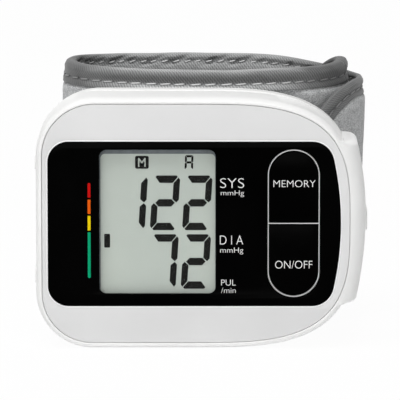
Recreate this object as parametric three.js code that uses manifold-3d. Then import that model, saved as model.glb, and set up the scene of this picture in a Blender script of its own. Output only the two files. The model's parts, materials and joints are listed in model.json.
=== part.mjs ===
// Wrist blood pressure monitor: a moulded housing with its display, keys, pump and batteries,
// carried by a fabric cuff that winds about one and a third turns round the wrist.
// Millimetres, +Z up. X runs to the right of the display and Y runs back from its face.
import * as THREE from 'three';
import { mergeVertices } from 'three/addons/utils/BufferGeometryUtils.js';
import Module from 'manifold-3d';

const wasm = await Module();
wasm.setup();

// Clearances
const GAP = 0.3; // between pieces that seat on each other
const SLIT = 0.2; // shown joint lines round the face plate, the panel and the keys

// Housing
const BODY_W = 86.7;
const BODY_H = 68.8;
const LEFT_R = 15.25; // corner radius on the left
const RIGHT_START = 30.1; // width of the rounded right end
const RIGHT_FULLNESS = 0.7; // how square the right end is
const RIM_LIP = 1.45; // width and depth of the rolled rim
const RIM_DEPTH = 3.5;
const WALL = 1.8;
const FRONT_DEPTH = 20.5;
const REAR_DEPTH = 4.5;
const LIP_T = 1.0;
const LIP_L = 1.5;
const RIB_T = 1.6;
const BOSS_R = 2.5;
const BOSS_LEFT = 23; // from the left side
const BOSS_RIGHT = 31.3; // from the right side
const SCREW_R = 1.1;
const SCREW_HEAD_R = 2.0;
const SCREW_HEAD_T = 1.3;
const SCREW_SEAT = 2.1; // depth of the head's seat behind the split
const SCREW_L = 10.5;
const TAB_Z = 16;
const TAB_H = 6;
const TAB_L = 11.5;
const TAB_T = 0.65;

// Face plate, display panel and window
const PLATE_INSET = 1.75;
const PLATE_T = 1.6;
const RECESS = 0.95;
const LEDGE = 1.65;
const LEDGE_T = 1.3;
const PANEL_LEFT = -39.85;
const PANEL_RIGHT = 39.15;
const PANEL_H = 44.5;
const PANEL_T = 0.75;
const PANEL_LEFT_R = 4.6;
const PANEL_SIDE_R = 61.6; // bowed right side
const PANEL_RIGHT_R = 3;
const WINDOW_LEFT = -26.05;
const WINDOW_W = 31.5;
const WINDOW_MARGIN = 2.6; // panel above and below the window
const WINDOW_H = PANEL_H - 2 * WINDOW_MARGIN;
const WINDOW_Z = 0.4;
const WINDOW_R = 1.75;
const WINDOW_T = 0.7;
const WINDOW_EDGE = 1;

// Keys
const KEY_X = 26.4;
const KEY_W = 14.4;
const KEY_MARGIN = 2.15; // panel above and below the keys
const KEY_H = PANEL_H - 2 * KEY_MARGIN;
const KEY_RIM = 0.4;
const KEY_FLANGE = 0.8;
const KEY_FLANGE_T = 0.5;
const KEY_TRAVEL = 0.6;
const SWITCH_W = 6;
const SWITCH_CAP_R = 1.7;
const SWITCH_CAP_L = 0.4;

// Display module and board
const LCD_EDGE = 2; // glass beyond the window
const LCD_T = 2;
const LCD_LEDGE = 2.6;
const FRAME_T = 1.2;
const ZEBRA_W = 1.6;
const BOARD_Y = 6.6;
const BOARD_T = 1.2;
const BOARD_INSET = 7.4;
const CHIP_W = 10;
const CHIP_T = 1.4;
const CHIP_X = -4; // middle of the chip
const CHIP_Z = -2;
const BUZZER_R = 4.5;
const BUZZER_T = 3.5;
const BUZZER_X = 3.5;

// Air system
const PUMP_X = 16.3; // from the left side
const PUMP_Y = 15.5;
const MOTOR_R = 6.6;
const MOTOR_L = 20;
const MOTOR_LOW = 7.5; // from the bottom of the housing
const HEAD_R = 7.3;
const HEAD_L = 11;
const NOZZLE_R = 1.5;
const HOSE_WALL = 0.7;
const MANIFOLD_R = 2.6;
const MANIFOLD_Z = 17;
const VALVE_L = 12.8;
const VALVE_W = 8;
const SENSOR_W = 7;
const SENSOR_H = 4;
const NIPPLE_X = -10;
const NIPPLE_R = 2;
const NIPPLE_FLANGE = 1.2;
const NIPPLE_ARM = 3;

// Battery bay
const CELL_R = 5.15;
const CELL_L = 43.6;
const CELL_NUB_R = 1.9;
const CELL_NUB_L = 0.9;
const CELL_PITCH = 11.1;
const CELL_RIGHT = 15.6; // right-hand cell axis from the right side
const TRAY_T = 0.8;
const CONTACT_T = 0.4;
const CONTACT_W = 8;
const SPRING_L = 3.6;
const SPRING_WIRE_R = 0.28;
const SPRING_BASE_R = 3.4;
const SPRING_TIP_R = 1.9;
const SPRING_TURNS = 3;
const DOOR_H = 44.9;

// Battery cover
const COVER_H = 45.9;
const COVER_PROUD = 2.7; // beyond the housing's right side
const COVER_SIDE_R = 105;
const COVER_ROLL_W = 6; // the front rolls off to the side: width and depth
const COVER_ROLL_D = 5;
const COVER_EDGE = 1.2; // rounding of the two ends
const COVER_LIP = 2.1; // depth of the lip that stands in for the rim
const COVER_T = 1.3;
const GRIP_H = 6.3;
const GRIP_PROUD = 0.5;

// Cuff, wound clockwise seen from above; angles in degrees, 0 at the right bend
const CUFF_X = 2.85;
const CUFF_HALF_W = 38;
const CUFF_NEAR = 25;
const CUFF_FAR = 14;
const CUFF_FAR_POWER = 2.4;
const CUFF_PITCH = 4.8; // outward growth of the second turn
const GROW_FROM = -185;
const GROW_TO = -300;
const CUFF_DROP = 3.5; // the second turn sits lower
const DROP_FROM = -280;
const DROP_TO = -345;
const CUFF_START = 45;
const CUFF_HINGE = -186;
const CUFF_PEEL = -361;
const CUFF_END = -412;
const CUFF_TOP = 38.3; // above the middle of the face
const CUFF_WIDTH = 61.5;
const INNER_END_R = 14;
const TIP_R = 26;
const LINING_T = 0.5;
const BLADDER_T = 0.7;
const STIFFENER_T = 0.5;
const FABRIC_T = 0.6;
const PLY_GAP = 0.25;
const TAPE_T = 0.4;
const TAPE_W = 6;
const SEAM_GAP = 0.6;
const STATION = 2.6; // spacing of the sections along the cuff
const SADDLE_HALF_W = 20;
const SADDLE_T = 1.875; // at its thinnest, in the middle
const SADDLE_STEPS = 12;
const SADDLE_LOW = -13.5; // from the middle of the face
const SADDLE_HIGH = 22;
const HOOK_INSET = 4;

// Facets
const CORNER_STEPS = 7;
const RIGHT_STEPS = 10;
const RIM_STEPS = 4;
const END_STEPS = 10;
const ROLL_STEPS = 6;
const COVER_STEPS = 8;

// Finishes
const finish = (color, roughness, metalness = 0) => ({ color, roughness, metalness });
const WHITE = finish(0xf3f3f1, 0.35);
const PALE_GREY = finish(0xe2e2e2, 0.4);
const BLACK_GLOSS = finish(0x0b0b0c, 0.2);
const BLACK = finish(0x1a1a1a, 0.6);
const LCD_GREY = finish(0xbcc5bc, 0.25);
const CLEAR = finish(0xdfe6ea, 0.05);
const GREEN_BOARD = finish(0x1f5a35, 0.5);
const STEEL = finish(0xb8bcc0, 0.3, 1);
const HOSE = finish(0xd9d9d2, 0.5);
const RUBBER_GREY = finish(0x4a4a4c, 0.8);
const CELL_SKIN = finish(0x2f5f9f, 0.4);
const FLEECE = finish(0xa8a8a8, 0.95);
const TWILL = finish(0x767676, 0.8);

const product = new THREE.Group();

// Solids
function solid(geometry) {
  geometry.deleteAttribute('normal');
  geometry.deleteAttribute('uv');
  const merged = mergeVertices(geometry, 1e-4);
  const points = merged.attributes.position.array;
  const corners = merged.index.array;
  const faces = [];
  let volume = 0;
  for (let i = 0; i < corners.length; i += 3) {
    const [a, b, c] = [corners[i], corners[i + 1], corners[i + 2]];
    if (a === b || b === c || c === a) continue;
    faces.push([a, b, c]);
    const at = (k) => new THREE.Vector3().fromArray(points, 3 * k);
    volume += at(a).dot(at(b).cross(at(c)));
  }
  const outward = volume > 0 ? faces : faces.map(([a, b, c]) => [a, c, b]);
  return new wasm.Manifold(
    new wasm.Mesh({
      numProp: 3,
      vertProperties: Float32Array.from(points),
      triVerts: Uint32Array.from(outward.flat()),
    }),
  );
}

function add(name, body, look) {
  const result = body.getMesh();
  const geometry = new THREE.BufferGeometry();
  geometry.setAttribute('position', new THREE.BufferAttribute(result.vertProperties, result.numProp));
  geometry.setIndex(new THREE.BufferAttribute(result.triVerts, 1));
  geometry.computeVertexNormals();
  const mesh = new THREE.Mesh(geometry, new THREE.MeshStandardMaterial(look));
  mesh.name = name;
  product.add(mesh);
}

const union = (first, ...others) => others.reduce((sum, body) => sum.add(body), first);
const cut = (first, ...others) => others.reduce((rest, body) => rest.subtract(body), first);

function box(x0, x1, y0, y1, z0, z1) {
  const geometry = new THREE.BoxGeometry(x1 - x0, y1 - y0, z1 - z0);
  geometry.translate((x0 + x1) / 2, (y0 + y1) / 2, (z0 + z1) / 2);
  return solid(geometry);
}

// A round bar along one axis; u and v are its place on the two other axes, in order.
function rod(axis, radius, start, end, u, v, sides = 16) {
  const geometry = new THREE.CylinderGeometry(radius, radius, end - start, sides);
  geometry.translate(0, (start + end) / 2, 0);
  if (axis === 'x') geometry.rotateZ(-Math.PI / 2).translate(0, u, v);
  if (axis === 'y') geometry.translate(u, 0, v);
  if (axis === 'z') geometry.rotateX(Math.PI / 2).translate(u, v, 0);
  return solid(geometry);
}

// A plate with an outline in X and Z.
function slab(outline, front, back, ...holes) {
  const shape = new THREE.Shape(outline);
  shape.holes = holes.map((hole) => new THREE.Path(hole));
  const geometry = new THREE.ExtrudeGeometry(shape, { depth: back - front, bevelEnabled: false });
  return solid(geometry.rotateX(Math.PI / 2).translate(0, back, 0));
}

// An upright prism with an outline in X and Y.
function prism(outline, low, high) {
  const options = { depth: high - low, bevelEnabled: false };
  return solid(new THREE.ExtrudeGeometry(new THREE.Shape(outline), options).translate(0, 0, low));
}

// Skins a row of rings with the same section and closes both ends.
function skin(rings, section) {
  const count = section.length;
  const turned = THREE.ShapeUtils.isClockWise(section);
  const order = rings.map((ring) => (turned ? [...ring].reverse() : ring));
  const cap = THREE.ShapeUtils.triangulateShape(turned ? [...section].reverse() : [...section], []);
  const last = (rings.length - 1) * count;
  const index = cap.flatMap(([a, b, c]) => [a, c, b, last + a, last + b, last + c]);
  for (let r = 0; r < rings.length - 1; r++) {
    for (let i = 0; i < count; i++) {
      const [a, b] = [r * count + i, r * count + ((i + 1) % count)];
      index.push(a, b, b + count, a, b + count, a + count);
    }
  }
  const geometry = new THREE.BufferGeometry();
  const points = order.flat().flatMap((p) => [p.x, p.y, p.z]);
  geometry.setAttribute('position', new THREE.Float32BufferAttribute(points, 3));
  geometry.setIndex(index);
  return solid(geometry);
}

// A tube with its bore along a path of points.
function hose(points, outer, bore, steps) {
  const shape = new THREE.Shape(arc(0, 0, outer, 0, 360, 8).slice(0, -1));
  shape.holes = [new THREE.Path(arc(0, 0, bore, 0, 360, 8).slice(0, -1))];
  const extrudePath = new THREE.CatmullRomCurve3(points, false, 'centripetal');
  return solid(new THREE.ExtrudeGeometry(shape, { steps, bevelEnabled: false, extrudePath }));
}

// Outlines
const radians = THREE.MathUtils.degToRad;
const at2 = (x, y) => new THREE.Vector2(x, y);
const at3 = (x, y, z) => new THREE.Vector3(x, y, z);

function arc(x, z, radius, from, to, steps) {
  return Array.from({ length: steps + 1 }, (_, i) => {
    const angle = radians(from + ((to - from) * i) / steps);
    return at2(x + radius * Math.cos(angle), z + radius * Math.sin(angle));
  });
}

function roundedRect(x0, x1, z0, z1, r, steps = 4) {
  return [
    ...arc(x0 + r, z0 + r, r, 180, 270, steps),
    ...arc(x1 - r, z0 + r, r, 270, 360, steps),
    ...arc(x1 - r, z1 - r, r, 0, 90, steps),
    ...arc(x0 + r, z1 - r, r, 90, 180, steps),
  ];
}

// The housing's outline: round corners on the left, a full round end on the right.
function bodyOutline(inset) {
  const [w, h, r] = [BODY_W / 2 - inset, BODY_H / 2 - inset, LEFT_R - inset];
  const start = BODY_W / 2 - RIGHT_START;
  const pull = start + RIGHT_FULLNESS * (w - start);
  const rise = h * RIGHT_FULLNESS;
  const curve = new THREE.CubicBezierCurve(at2(start, -h), at2(pull, -h), at2(w, -rise), at2(w, 0));
  const lower = curve.getPoints(RIGHT_STEPS);
  const upper = lower.slice(0, -1).reverse();
  return [
    ...arc(r - w, r - h, r, 180, 270, CORNER_STEPS),
    ...lower,
    ...upper.map((p) => at2(p.x, -p.y)),
    ...arc(r - w, h - r, r, 90, 180, CORNER_STEPS),
  ];
}

// A body with the housing's outline; each row of the profile is an inset and a depth.
function bodyLoft(profile) {
  const rings = profile.map(([inset, y]) => bodyOutline(inset).map((p) => at3(p.x, y, p.y)));
  return skin(rings, bodyOutline(0));
}

// The black panel's outline: a bowed right side that runs into small corners.
function panelOutline(grow) {
  const h = PANEL_H / 2 + grow;
  const left = PANEL_LEFT - grow;
  const [side, corner, round] = [PANEL_SIDE_R + grow, PANEL_RIGHT_R + grow, PANEL_LEFT_R + grow];
  const middle = PANEL_RIGHT - PANEL_SIDE_R;
  const cornerX = middle + Math.sqrt((side - corner) ** 2 - (h - corner) ** 2);
  const tilt = THREE.MathUtils.radToDeg(Math.atan2(h - corner, cornerX - middle));
  return [
    ...arc(left + round, round - h, round, 180, 270, 5),
    ...arc(cornerX, corner - h, corner, -90, -tilt, 4),
    ...arc(middle, 0, side, -tilt, tilt, 8).slice(1, -1),
    ...arc(cornerX, h - corner, corner, tilt, 90, 4),
    ...arc(left + round, h - round, round, 90, 180, 5),
  ];
}

const windowOutline = (grow) =>
  roundedRect(
    WINDOW_LEFT - grow,
    WINDOW_LEFT + WINDOW_W + grow,
    WINDOW_Z - WINDOW_H / 2 - grow,
    WINDOW_Z + WINDOW_H / 2 + grow,
    WINDOW_R + grow,
  );

const keysOutline = (grow) =>
  roundedRect(
    KEY_X - KEY_W / 2 - grow,
    KEY_X + KEY_W / 2 + grow,
    -KEY_H / 2 - grow,
    KEY_H / 2 + grow,
    KEY_W / 2 + grow - 0.01,
    8,
  );

// One key: half of the long round-ended field, on the side of the cross bar that sign gives.
function keyOutline(sign, inset) {
  const r = KEY_W / 2 - inset;
  const end = KEY_H / 2 - KEY_W / 2;
  const bar = KEY_RIM / 2 + inset - KEY_RIM;
  const upper = [at2(KEY_X - r, bar), at2(KEY_X + r, bar), ...arc(KEY_X, end, r, 0, 180, 12)];
  return sign > 0 ? upper : upper.map((p) => at2(p.x, -p.y)).reverse();
}

// Places that several pieces share
const SEAT_Y = PLATE_T + GAP;
const INSIDE_Y = SEAT_Y + LEDGE_T;
const REAR_Y = FRONT_DEPTH + SLIT;
const BACK_Y = REAR_Y + REAR_DEPTH;
const LEFT_X = -BODY_W / 2;
const RIGHT_X = BODY_W / 2;
const BOSSES = [
  [LEFT_X + BOSS_LEFT, 1],
  [RIGHT_X - BOSS_RIGHT, 1],
  [LEFT_X + BOSS_LEFT, -1],
  [RIGHT_X - BOSS_RIGHT, -1],
].map(([x, side]) => [x, side * (BODY_H / 2 - WALL - BOSS_R - 0.1)]);
const BOARD_BACK = BOARD_Y + BOARD_T;
const AIR_X = LEFT_X + PUMP_X;
const AIR_Y = BOARD_BACK + GAP + VALVE_W / 2;
const HOSE_BORE = NOZZLE_R + GAP;
const HOSE_R = HOSE_BORE + HOSE_WALL;
const TRAY_FRONT = BOARD_BACK + SLIT;
const CELL_Y = TRAY_FRONT + TRAY_T + GAP + CELL_R;
const CELL_XS = [RIGHT_X - CELL_RIGHT - CELL_PITCH, RIGHT_X - CELL_RIGHT];
const BAY_HALF = (CELL_L + CELL_NUB_L + SPRING_L) / 2 + CONTACT_T + 2 * GAP;

// Housing
const rim = Array.from({ length: RIM_STEPS + 1 }, (_, i) => {
  const angle = ((Math.PI / 2) * i) / RIM_STEPS;
  return [RIM_LIP * (1 - Math.sin(angle)), RIM_DEPTH * (1 - Math.cos(angle))];
});
const frontProfile = [...rim, [0, FRONT_DEPTH - 0.5], [0.3, FRONT_DEPTH]];

function frontShell() {
  const inside = bodyLoft([
    [PLATE_INSET, -1],
    [PLATE_INSET, SEAT_Y],
    [PLATE_INSET + LEDGE, SEAT_Y],
    [PLATE_INSET + LEDGE, INSIDE_Y],
    [WALL, INSIDE_Y + LEDGE],
    [WALL, FRONT_DEPTH + 1],
  ]);
  const bosses = BOSSES.map(([x, z]) => rod('y', BOSS_R, INSIDE_Y - 0.5, FRONT_DEPTH, x, z));
  const bores = BOSSES.map(([x, z]) => {
    return rod('y', SCREW_R + GAP, FRONT_DEPTH - SCREW_L + 1, FRONT_DEPTH + 1, x, z, 10);
  });
  const door = box(RIGHT_X / 2, RIGHT_X + RIGHT_START, TRAY_FRONT, FRONT_DEPTH + 1, -DOOR_H / 2, DOOR_H / 2);
  const lipHalf = COVER_H / 2 + SLIT;
  const lipReach = box(RIGHT_X / 2, RIGHT_X + RIGHT_START, -1, COVER_LIP + SLIT, -lipHalf, lipHalf);
  const lipRoom = lipReach.subtract(slab(bodyOutline(PLATE_INSET + SLIT), -2, COVER_LIP + 1));
  return cut(union(cut(bodyLoft(frontProfile), inside), ...bosses), ...bores, door, lipRoom);
}

function rearShell() {
  const outside = bodyLoft([
    [0.3, REAR_Y],
    [0, REAR_Y + 0.09 * REAR_DEPTH],
    [0.35, REAR_Y + 0.36 * REAR_DEPTH],
    [1.5, REAR_Y + 0.67 * REAR_DEPTH],
    [3.2, REAR_Y + 0.89 * REAR_DEPTH],
    [5.2, BACK_Y],
  ]);
  const inside = bodyLoft([
    [WALL, REAR_Y - 1],
    [WALL, REAR_Y + 0.2 * REAR_DEPTH],
    [2 * WALL, BACK_Y - 1.5 * WALL],
    [3.5 * WALL, BACK_Y - WALL],
  ]);
  const lipInset = WALL + GAP;
  const lip = cut(
    bodyLoft([
      [lipInset, FRONT_DEPTH - LIP_L],
      [lipInset, REAR_Y],
      [WALL - GAP, REAR_Y + GAP],
      [WALL - GAP, REAR_Y + 1],
    ]),
    bodyLoft([
      [lipInset + LIP_T, FRONT_DEPTH - LIP_L - 1],
      [lipInset + LIP_T, REAR_Y + 2],
    ]),
    ...BOSSES.map(([x, z]) => rod('y', BOSS_R + GAP, 0, REAR_Y + 0.1, x, z)),
  );
  const posts = BOSSES.map(([x, z]) => {
    return outside.intersect(rod('y', BOSS_R + WALL / 3, REAR_Y + 0.1, BACK_Y, x, z));
  });
  const motorRoom = rod('z', MOTOR_R + GAP, -BODY_H, BODY_H, AIR_X, PUMP_Y, 20);
  const cradle = [0.25, 0.75].map((share) => {
    const z = -BODY_H / 2 + MOTOR_LOW + share * MOTOR_L;
    const [low, high] = [z - RIB_T / 2, z + RIB_T / 2];
    const rib = box(AIR_X - MOTOR_R, AIR_X + MOTOR_R, PUMP_Y + MOTOR_R / 2, BACK_Y - WALL / 2, low, high);
    return rib.subtract(motorRoom);
  });
  const tabs = [-TAB_Z, TAB_Z].map((z) => {
    const [low, high] = [z - TAB_H / 2, z + TAB_H / 2];
    const arm = box(LEFT_X - GAP - TAB_T, LEFT_X - GAP, REAR_Y - TAB_L, REAR_Y + 1.6, low, high);
    return arm.add(box(LEFT_X - GAP - TAB_T, LEFT_X + 1, REAR_Y + 0.2, REAR_Y + 1.6, low, high));
  });
  const headSeats = BOSSES.map(([x, z]) => {
    return rod('y', SCREW_HEAD_R + GAP, REAR_Y + SCREW_SEAT, BACK_Y + 1, x, z);
  });
  const holes = BOSSES.map(([x, z]) => rod('y', SCREW_R + GAP, REAR_Y - 1, BACK_Y, x, z, 10));
  const airHole = rod('y', NIPPLE_R + GAP, REAR_Y, BACK_Y + 1, NIPPLE_X, MANIFOLD_Z, 12);
  const shell = union(cut(outside, inside), lip, ...posts, ...cradle, ...tabs);
  return cut(shell, ...headSeats, ...holes, airHole);
}

add('front_shell', frontShell(), WHITE);
add('rear_shell', rearShell(), WHITE);

BOSSES.forEach(([x, z], i) => {
  const headY = REAR_Y + SCREW_SEAT + GAP;
  const shank = rod('y', SCREW_R, headY - SCREW_L, headY + 0.5, x, z, 10);
  const head = rod('y', SCREW_HEAD_R, headY, headY + SCREW_HEAD_T, x, z);
  add(`housing_screw_${i + 1}`, shank.add(head), STEEL);
});

// Face plate, display panel, window and keys
const floor = slab(bodyOutline(PLATE_INSET + SLIT), 0, PLATE_T);
const recess = slab(panelOutline(SLIT), -1, RECESS);
const windowRoom = slab(windowOutline(WINDOW_EDGE + SLIT), RECESS - 0.1, PLATE_T + 1);
const keyRoom = slab(keysOutline(SLIT), RECESS - 0.1, PLATE_T + 1);
add('face_plate', cut(floor, recess, windowRoom, keyRoom), PALE_GREY);

const panelFront = RECESS - SLIT / 2 - PANEL_T;
const panelBack = panelFront + PANEL_T;
const panel = slab(panelOutline(0), panelFront, panelBack, windowOutline(0), keysOutline(SLIT));
add('display_panel', panel, BLACK_GLOSS);

const windowFront = panelBack + SLIT / 2;
add('display_window', slab(windowOutline(WINDOW_EDGE), windowFront, windowFront + WINDOW_T), CLEAR);

const keyFrameBack = PLATE_T + SLIT + KEY_FLANGE_T;
const keyHoles = [1, -1].map((sign) => slab(keyOutline(sign, KEY_RIM), -1, keyFrameBack + 1));
const keyRing = slab(keysOutline(0), panelFront, keyFrameBack);
const keyRingFlange = slab(keysOutline(KEY_FLANGE), PLATE_T + SLIT, keyFrameBack);
add('key_frame', cut(keyRing.add(keyRingFlange), ...keyHoles), PALE_GREY);

const keyBack = keyFrameBack + SLIT + KEY_FLANGE_T;
function key(sign) {
  const cap = slab(keyOutline(sign, KEY_RIM + SLIT), panelFront, keyBack);
  const flange = slab(keyOutline(sign, SLIT), keyFrameBack + SLIT, keyBack);
  return cap.add(flange);
}
add('memory_button', key(1), BLACK_GLOSS);
add('power_button', key(-1), BLACK_GLOSS);

const switchTop = keyBack + KEY_TRAVEL + 0.05;
function tactSwitch(z) {
  const half = SWITCH_W / 2;
  const can = box(KEY_X - half, KEY_X + half, switchTop + SWITCH_CAP_L, BOARD_Y - 0.1, z - half, z + half);
  return can.add(rod('y', SWITCH_CAP_R, switchTop, switchTop + SWITCH_CAP_L + 0.5, KEY_X, z));
}
add('memory_switch', tactSwitch(KEY_H / 4), BLACK);
add('power_switch', tactSwitch(-KEY_H / 4), BLACK);

// Display module, its frame and the board
const lcdFront = windowFront + WINDOW_T + 2 * GAP;
const lcdBack = lcdFront + LCD_T;
const lcdTop = slab(windowOutline(LCD_EDGE - WINDOW_R), lcdFront, lcdFront + LCD_T / 2 + 0.01);
const lcdX = [WINDOW_LEFT - LCD_EDGE, WINDOW_LEFT + WINDOW_W + LCD_EDGE];
const lcdZ = [WINDOW_Z - WINDOW_H / 2 - LCD_LEDGE, WINDOW_Z + WINDOW_H / 2 + LCD_LEDGE];
const lcdBase = box(lcdX[0], lcdX[1], lcdFront + LCD_T / 2, lcdBack, lcdZ[0], lcdZ[1]);
add('lcd_module', lcdTop.add(lcdBase), LCD_GREY);

const frameOuter = [lcdX[0] - GAP - FRAME_T, lcdX[1] + GAP + FRAME_T];
const frameZ = [lcdZ[0] - GAP - FRAME_T, lcdZ[1] + GAP + FRAME_T];
const frameBody = box(...frameOuter, PLATE_T + GAP, BOARD_Y - 0.1, ...frameZ);
const frameFront = box(lcdX[0] - GAP, lcdX[1] + GAP, 0, lcdBack + 0.1, lcdZ[0] - GAP, lcdZ[1] + GAP);
const zebraLow = lcdZ[0] + 0.4;
const zebraHigh = lcdZ[1] - 0.4 - ZEBRA_W;
const zebraX = [lcdX[0] + LCD_EDGE, lcdX[1] - LCD_EDGE];
const zebraSlots = [zebraLow, zebraHigh].map((z) => {
  return box(zebraX[0] - GAP, zebraX[1] + GAP, 0, BOARD_Y, z - GAP, z + ZEBRA_W + GAP);
});
const frameMiddle = box(...zebraX, 0, BOARD_Y, zebraLow + 3 * ZEBRA_W, zebraHigh - 2 * ZEBRA_W);
add('lcd_frame', cut(frameBody, frameFront, frameMiddle, ...zebraSlots), WHITE);

['zebra_strip_bottom', 'zebra_strip_top'].forEach((name, i) => {
  const z = [zebraLow, zebraHigh][i];
  add(name, box(zebraX[0], zebraX[1], lcdBack + 0.1, BOARD_Y - 0.1, z, z + ZEBRA_W), RUBBER_GREY);
});

add('main_board', slab(bodyOutline(BOARD_INSET), BOARD_Y, BOARD_BACK), GREEN_BOARD);

const chipBack = BOARD_BACK + 0.1;
const [chipX, chipZ] = [CHIP_X - CHIP_W / 2, CHIP_Z - CHIP_W / 2];
const chip = box(chipX, chipX + CHIP_W, chipBack, chipBack + CHIP_T, chipZ, chipZ + CHIP_W);
add('controller_chip', chip, BLACK);
add('buzzer', rod('y', BUZZER_R, chipBack, chipBack + BUZZER_T, BUZZER_X, -BODY_H / 4, 20), BLACK);

// Air system
const motorLow = -BODY_H / 2 + MOTOR_LOW;
const motorHigh = motorLow + MOTOR_L;
const headLow = motorHigh + GAP;
const headHigh = headLow + HEAD_L;
const nozzle = (axis, from, to, u, v) => {
  return rod(axis, NOZZLE_R, Math.min(from, to), Math.max(from, to), u, v, 10);
};

const motorCan = rod('z', MOTOR_R, motorLow, motorHigh, AIR_X, PUMP_Y, 20);
const motorBearing = rod('z', MOTOR_R / 3, motorLow - 1.2, motorLow + 1, AIR_X, PUMP_Y, 12);
add('pump_motor', motorCan.add(motorBearing), STEEL);
const headCan = rod('z', HEAD_R, headLow, headHigh, AIR_X, PUMP_Y, 20);
const headNozzle = nozzle('z', headHigh - 1, headHigh + 3.2, AIR_X, AIR_Y);
add('pump_head', headCan.add(headNozzle), BLACK);

const manifoldLow = MANIFOLD_Z - MANIFOLD_R;
const manifoldHigh = MANIFOLD_Z + MANIFOLD_R;
const armLow = manifoldLow - 3;
const armHigh = manifoldHigh + 1.6;
const armRight = AIR_X + MANIFOLD_R + 2.4;
const armBack = AIR_Y + MANIFOLD_R + 2.4;
const manifold = union(
  rod('z', MANIFOLD_R, manifoldLow, manifoldHigh, AIR_X, AIR_Y, 12),
  nozzle('z', armLow, armHigh, AIR_X, AIR_Y),
  nozzle('x', AIR_X, armRight, AIR_Y, MANIFOLD_Z),
  nozzle('y', AIR_Y, armBack, AIR_X, MANIFOLD_Z),
);
add('air_manifold', manifold, WHITE);

const valveX = armRight + 2 * NOZZLE_R;
const valveBlock = box(
  valveX,
  valveX + VALVE_L,
  AIR_Y - VALVE_W / 2,
  AIR_Y + VALVE_W / 2,
  MANIFOLD_Z - VALVE_W / 2,
  MANIFOLD_Z + VALVE_W / 2,
);
const valveCore = rod('x', VALVE_W / 4, valveX + 1, valveX + VALVE_L + 1, AIR_Y, MANIFOLD_Z, 12);
const valveNozzle = nozzle('x', armRight + GAP, valveX + 1, AIR_Y, MANIFOLD_Z);
add('valve_body', union(valveBlock, valveCore, valveNozzle), STEEL);

const sensorLow = armHigh + GAP + 1.6;
const sensorX = [AIR_X - SENSOR_W / 2, AIR_X + SENSOR_W / 2];
const sensorCan = box(...sensorX, chipBack, AIR_Y + 2, sensorLow, sensorLow + SENSOR_H);
const sensorNozzle = nozzle('z', armHigh + GAP, sensorLow + 1, AIR_X, AIR_Y);
add('pressure_sensor', sensorCan.add(sensorNozzle), WHITE);

const hoseFrom = (points, steps) => hose(points, HOSE_R, HOSE_BORE, steps);
const hoseStart = headHigh + GAP;
const pumpRun = [at3(AIR_X, AIR_Y, hoseStart), at3(AIR_X, AIR_Y, manifoldLow - GAP)];
add('pump_tube', hoseFrom(pumpRun, 1), HOSE);
const valveRun = [
  at3(AIR_X + MANIFOLD_R + GAP, AIR_Y, MANIFOLD_Z),
  at3(valveX - GAP, AIR_Y, MANIFOLD_Z),
];
add('valve_tube', hoseFrom(valveRun, 1), HOSE);
const sensorRun = [at3(AIR_X, AIR_Y, manifoldHigh + GAP), at3(AIR_X, AIR_Y, sensorLow - GAP)];
add('sensor_tube', hoseFrom(sensorRun, 1), HOSE);

const elbowY = BACK_Y - WALL - HOSE_R - GAP;
const cuffHoseEnd = NIPPLE_X - NIPPLE_R - NIPPLE_FLANGE - GAP;
const elbowEnd = cuffHoseEnd - NIPPLE_ARM;
const bend = elbowY - armBack;
const cuffRun = [
  at3(AIR_X, AIR_Y + MANIFOLD_R + GAP, MANIFOLD_Z),
  at3(AIR_X, armBack, MANIFOLD_Z),
  at3(AIR_X + 0.3 * bend, armBack + 0.7 * bend, MANIFOLD_Z),
  at3(AIR_X + bend, elbowY, MANIFOLD_Z),
  at3(cuffHoseEnd, elbowY, MANIFOLD_Z),
];
add('cuff_tube', hoseFrom(cuffRun, 10), HOSE);

// Battery bay
const [trayLeft, trayRight] = [CELL_XS[0] - CELL_R - GAP - TRAY_T, CELL_XS[1] + CELL_R + GAP];
const trayEnd = BAY_HALF + TRAY_T;
const trayBack = FRONT_DEPTH - LIP_L - GAP;
const trayBlock = box(trayLeft, trayRight, TRAY_FRONT, trayBack, -trayEnd, trayEnd);
const trayInside = [trayLeft + TRAY_T, trayRight + 1];
const trayRoom = box(...trayInside, TRAY_FRONT + TRAY_T, trayBack + 1, -BAY_HALF, BAY_HALF);
add('battery_tray', trayBlock.subtract(trayRoom), BLACK);

const contactZ = BAY_HALF - GAP;
const nubZ = contactZ - CONTACT_T - GAP;
function cell(x, up) {
  const top = nubZ - CELL_NUB_L;
  const profile = [
    [0, top - CELL_L],
    [CELL_R - 0.5, top - CELL_L],
    [CELL_R, top - CELL_L + 0.5],
    [CELL_R, top - 0.5],
    [CELL_R - 0.5, top],
    [CELL_NUB_R, top],
    [CELL_NUB_R, nubZ],
    [0, nubZ],
  ];
  const geometry = new THREE.LatheGeometry(profile.map(([r, z]) => at2(r, z)), 20);
  geometry.rotateX(up ? Math.PI / 2 : -Math.PI / 2).translate(x, CELL_Y, 0);
  return solid(geometry);
}
add('battery_cell_1', cell(CELL_XS[0], true), CELL_SKIN);
add('battery_cell_2', cell(CELL_XS[1], false), CELL_SKIN);

function contact(x0, x1, top) {
  const [low, high] = top ? [contactZ - CONTACT_T, contactZ] : [-contactZ, CONTACT_T - contactZ];
  const reach = CONTACT_W / 2;
  return box(x0 - reach, x1 + reach, CELL_Y - reach, CELL_Y + reach, low, high);
}
add('bridge_contact', contact(CELL_XS[0], CELL_XS[1], false), STEEL);
add('plus_contact', contact(CELL_XS[0], CELL_XS[0], true), STEEL);
add('minus_contact', contact(CELL_XS[1], CELL_XS[1], true), STEEL);

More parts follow.
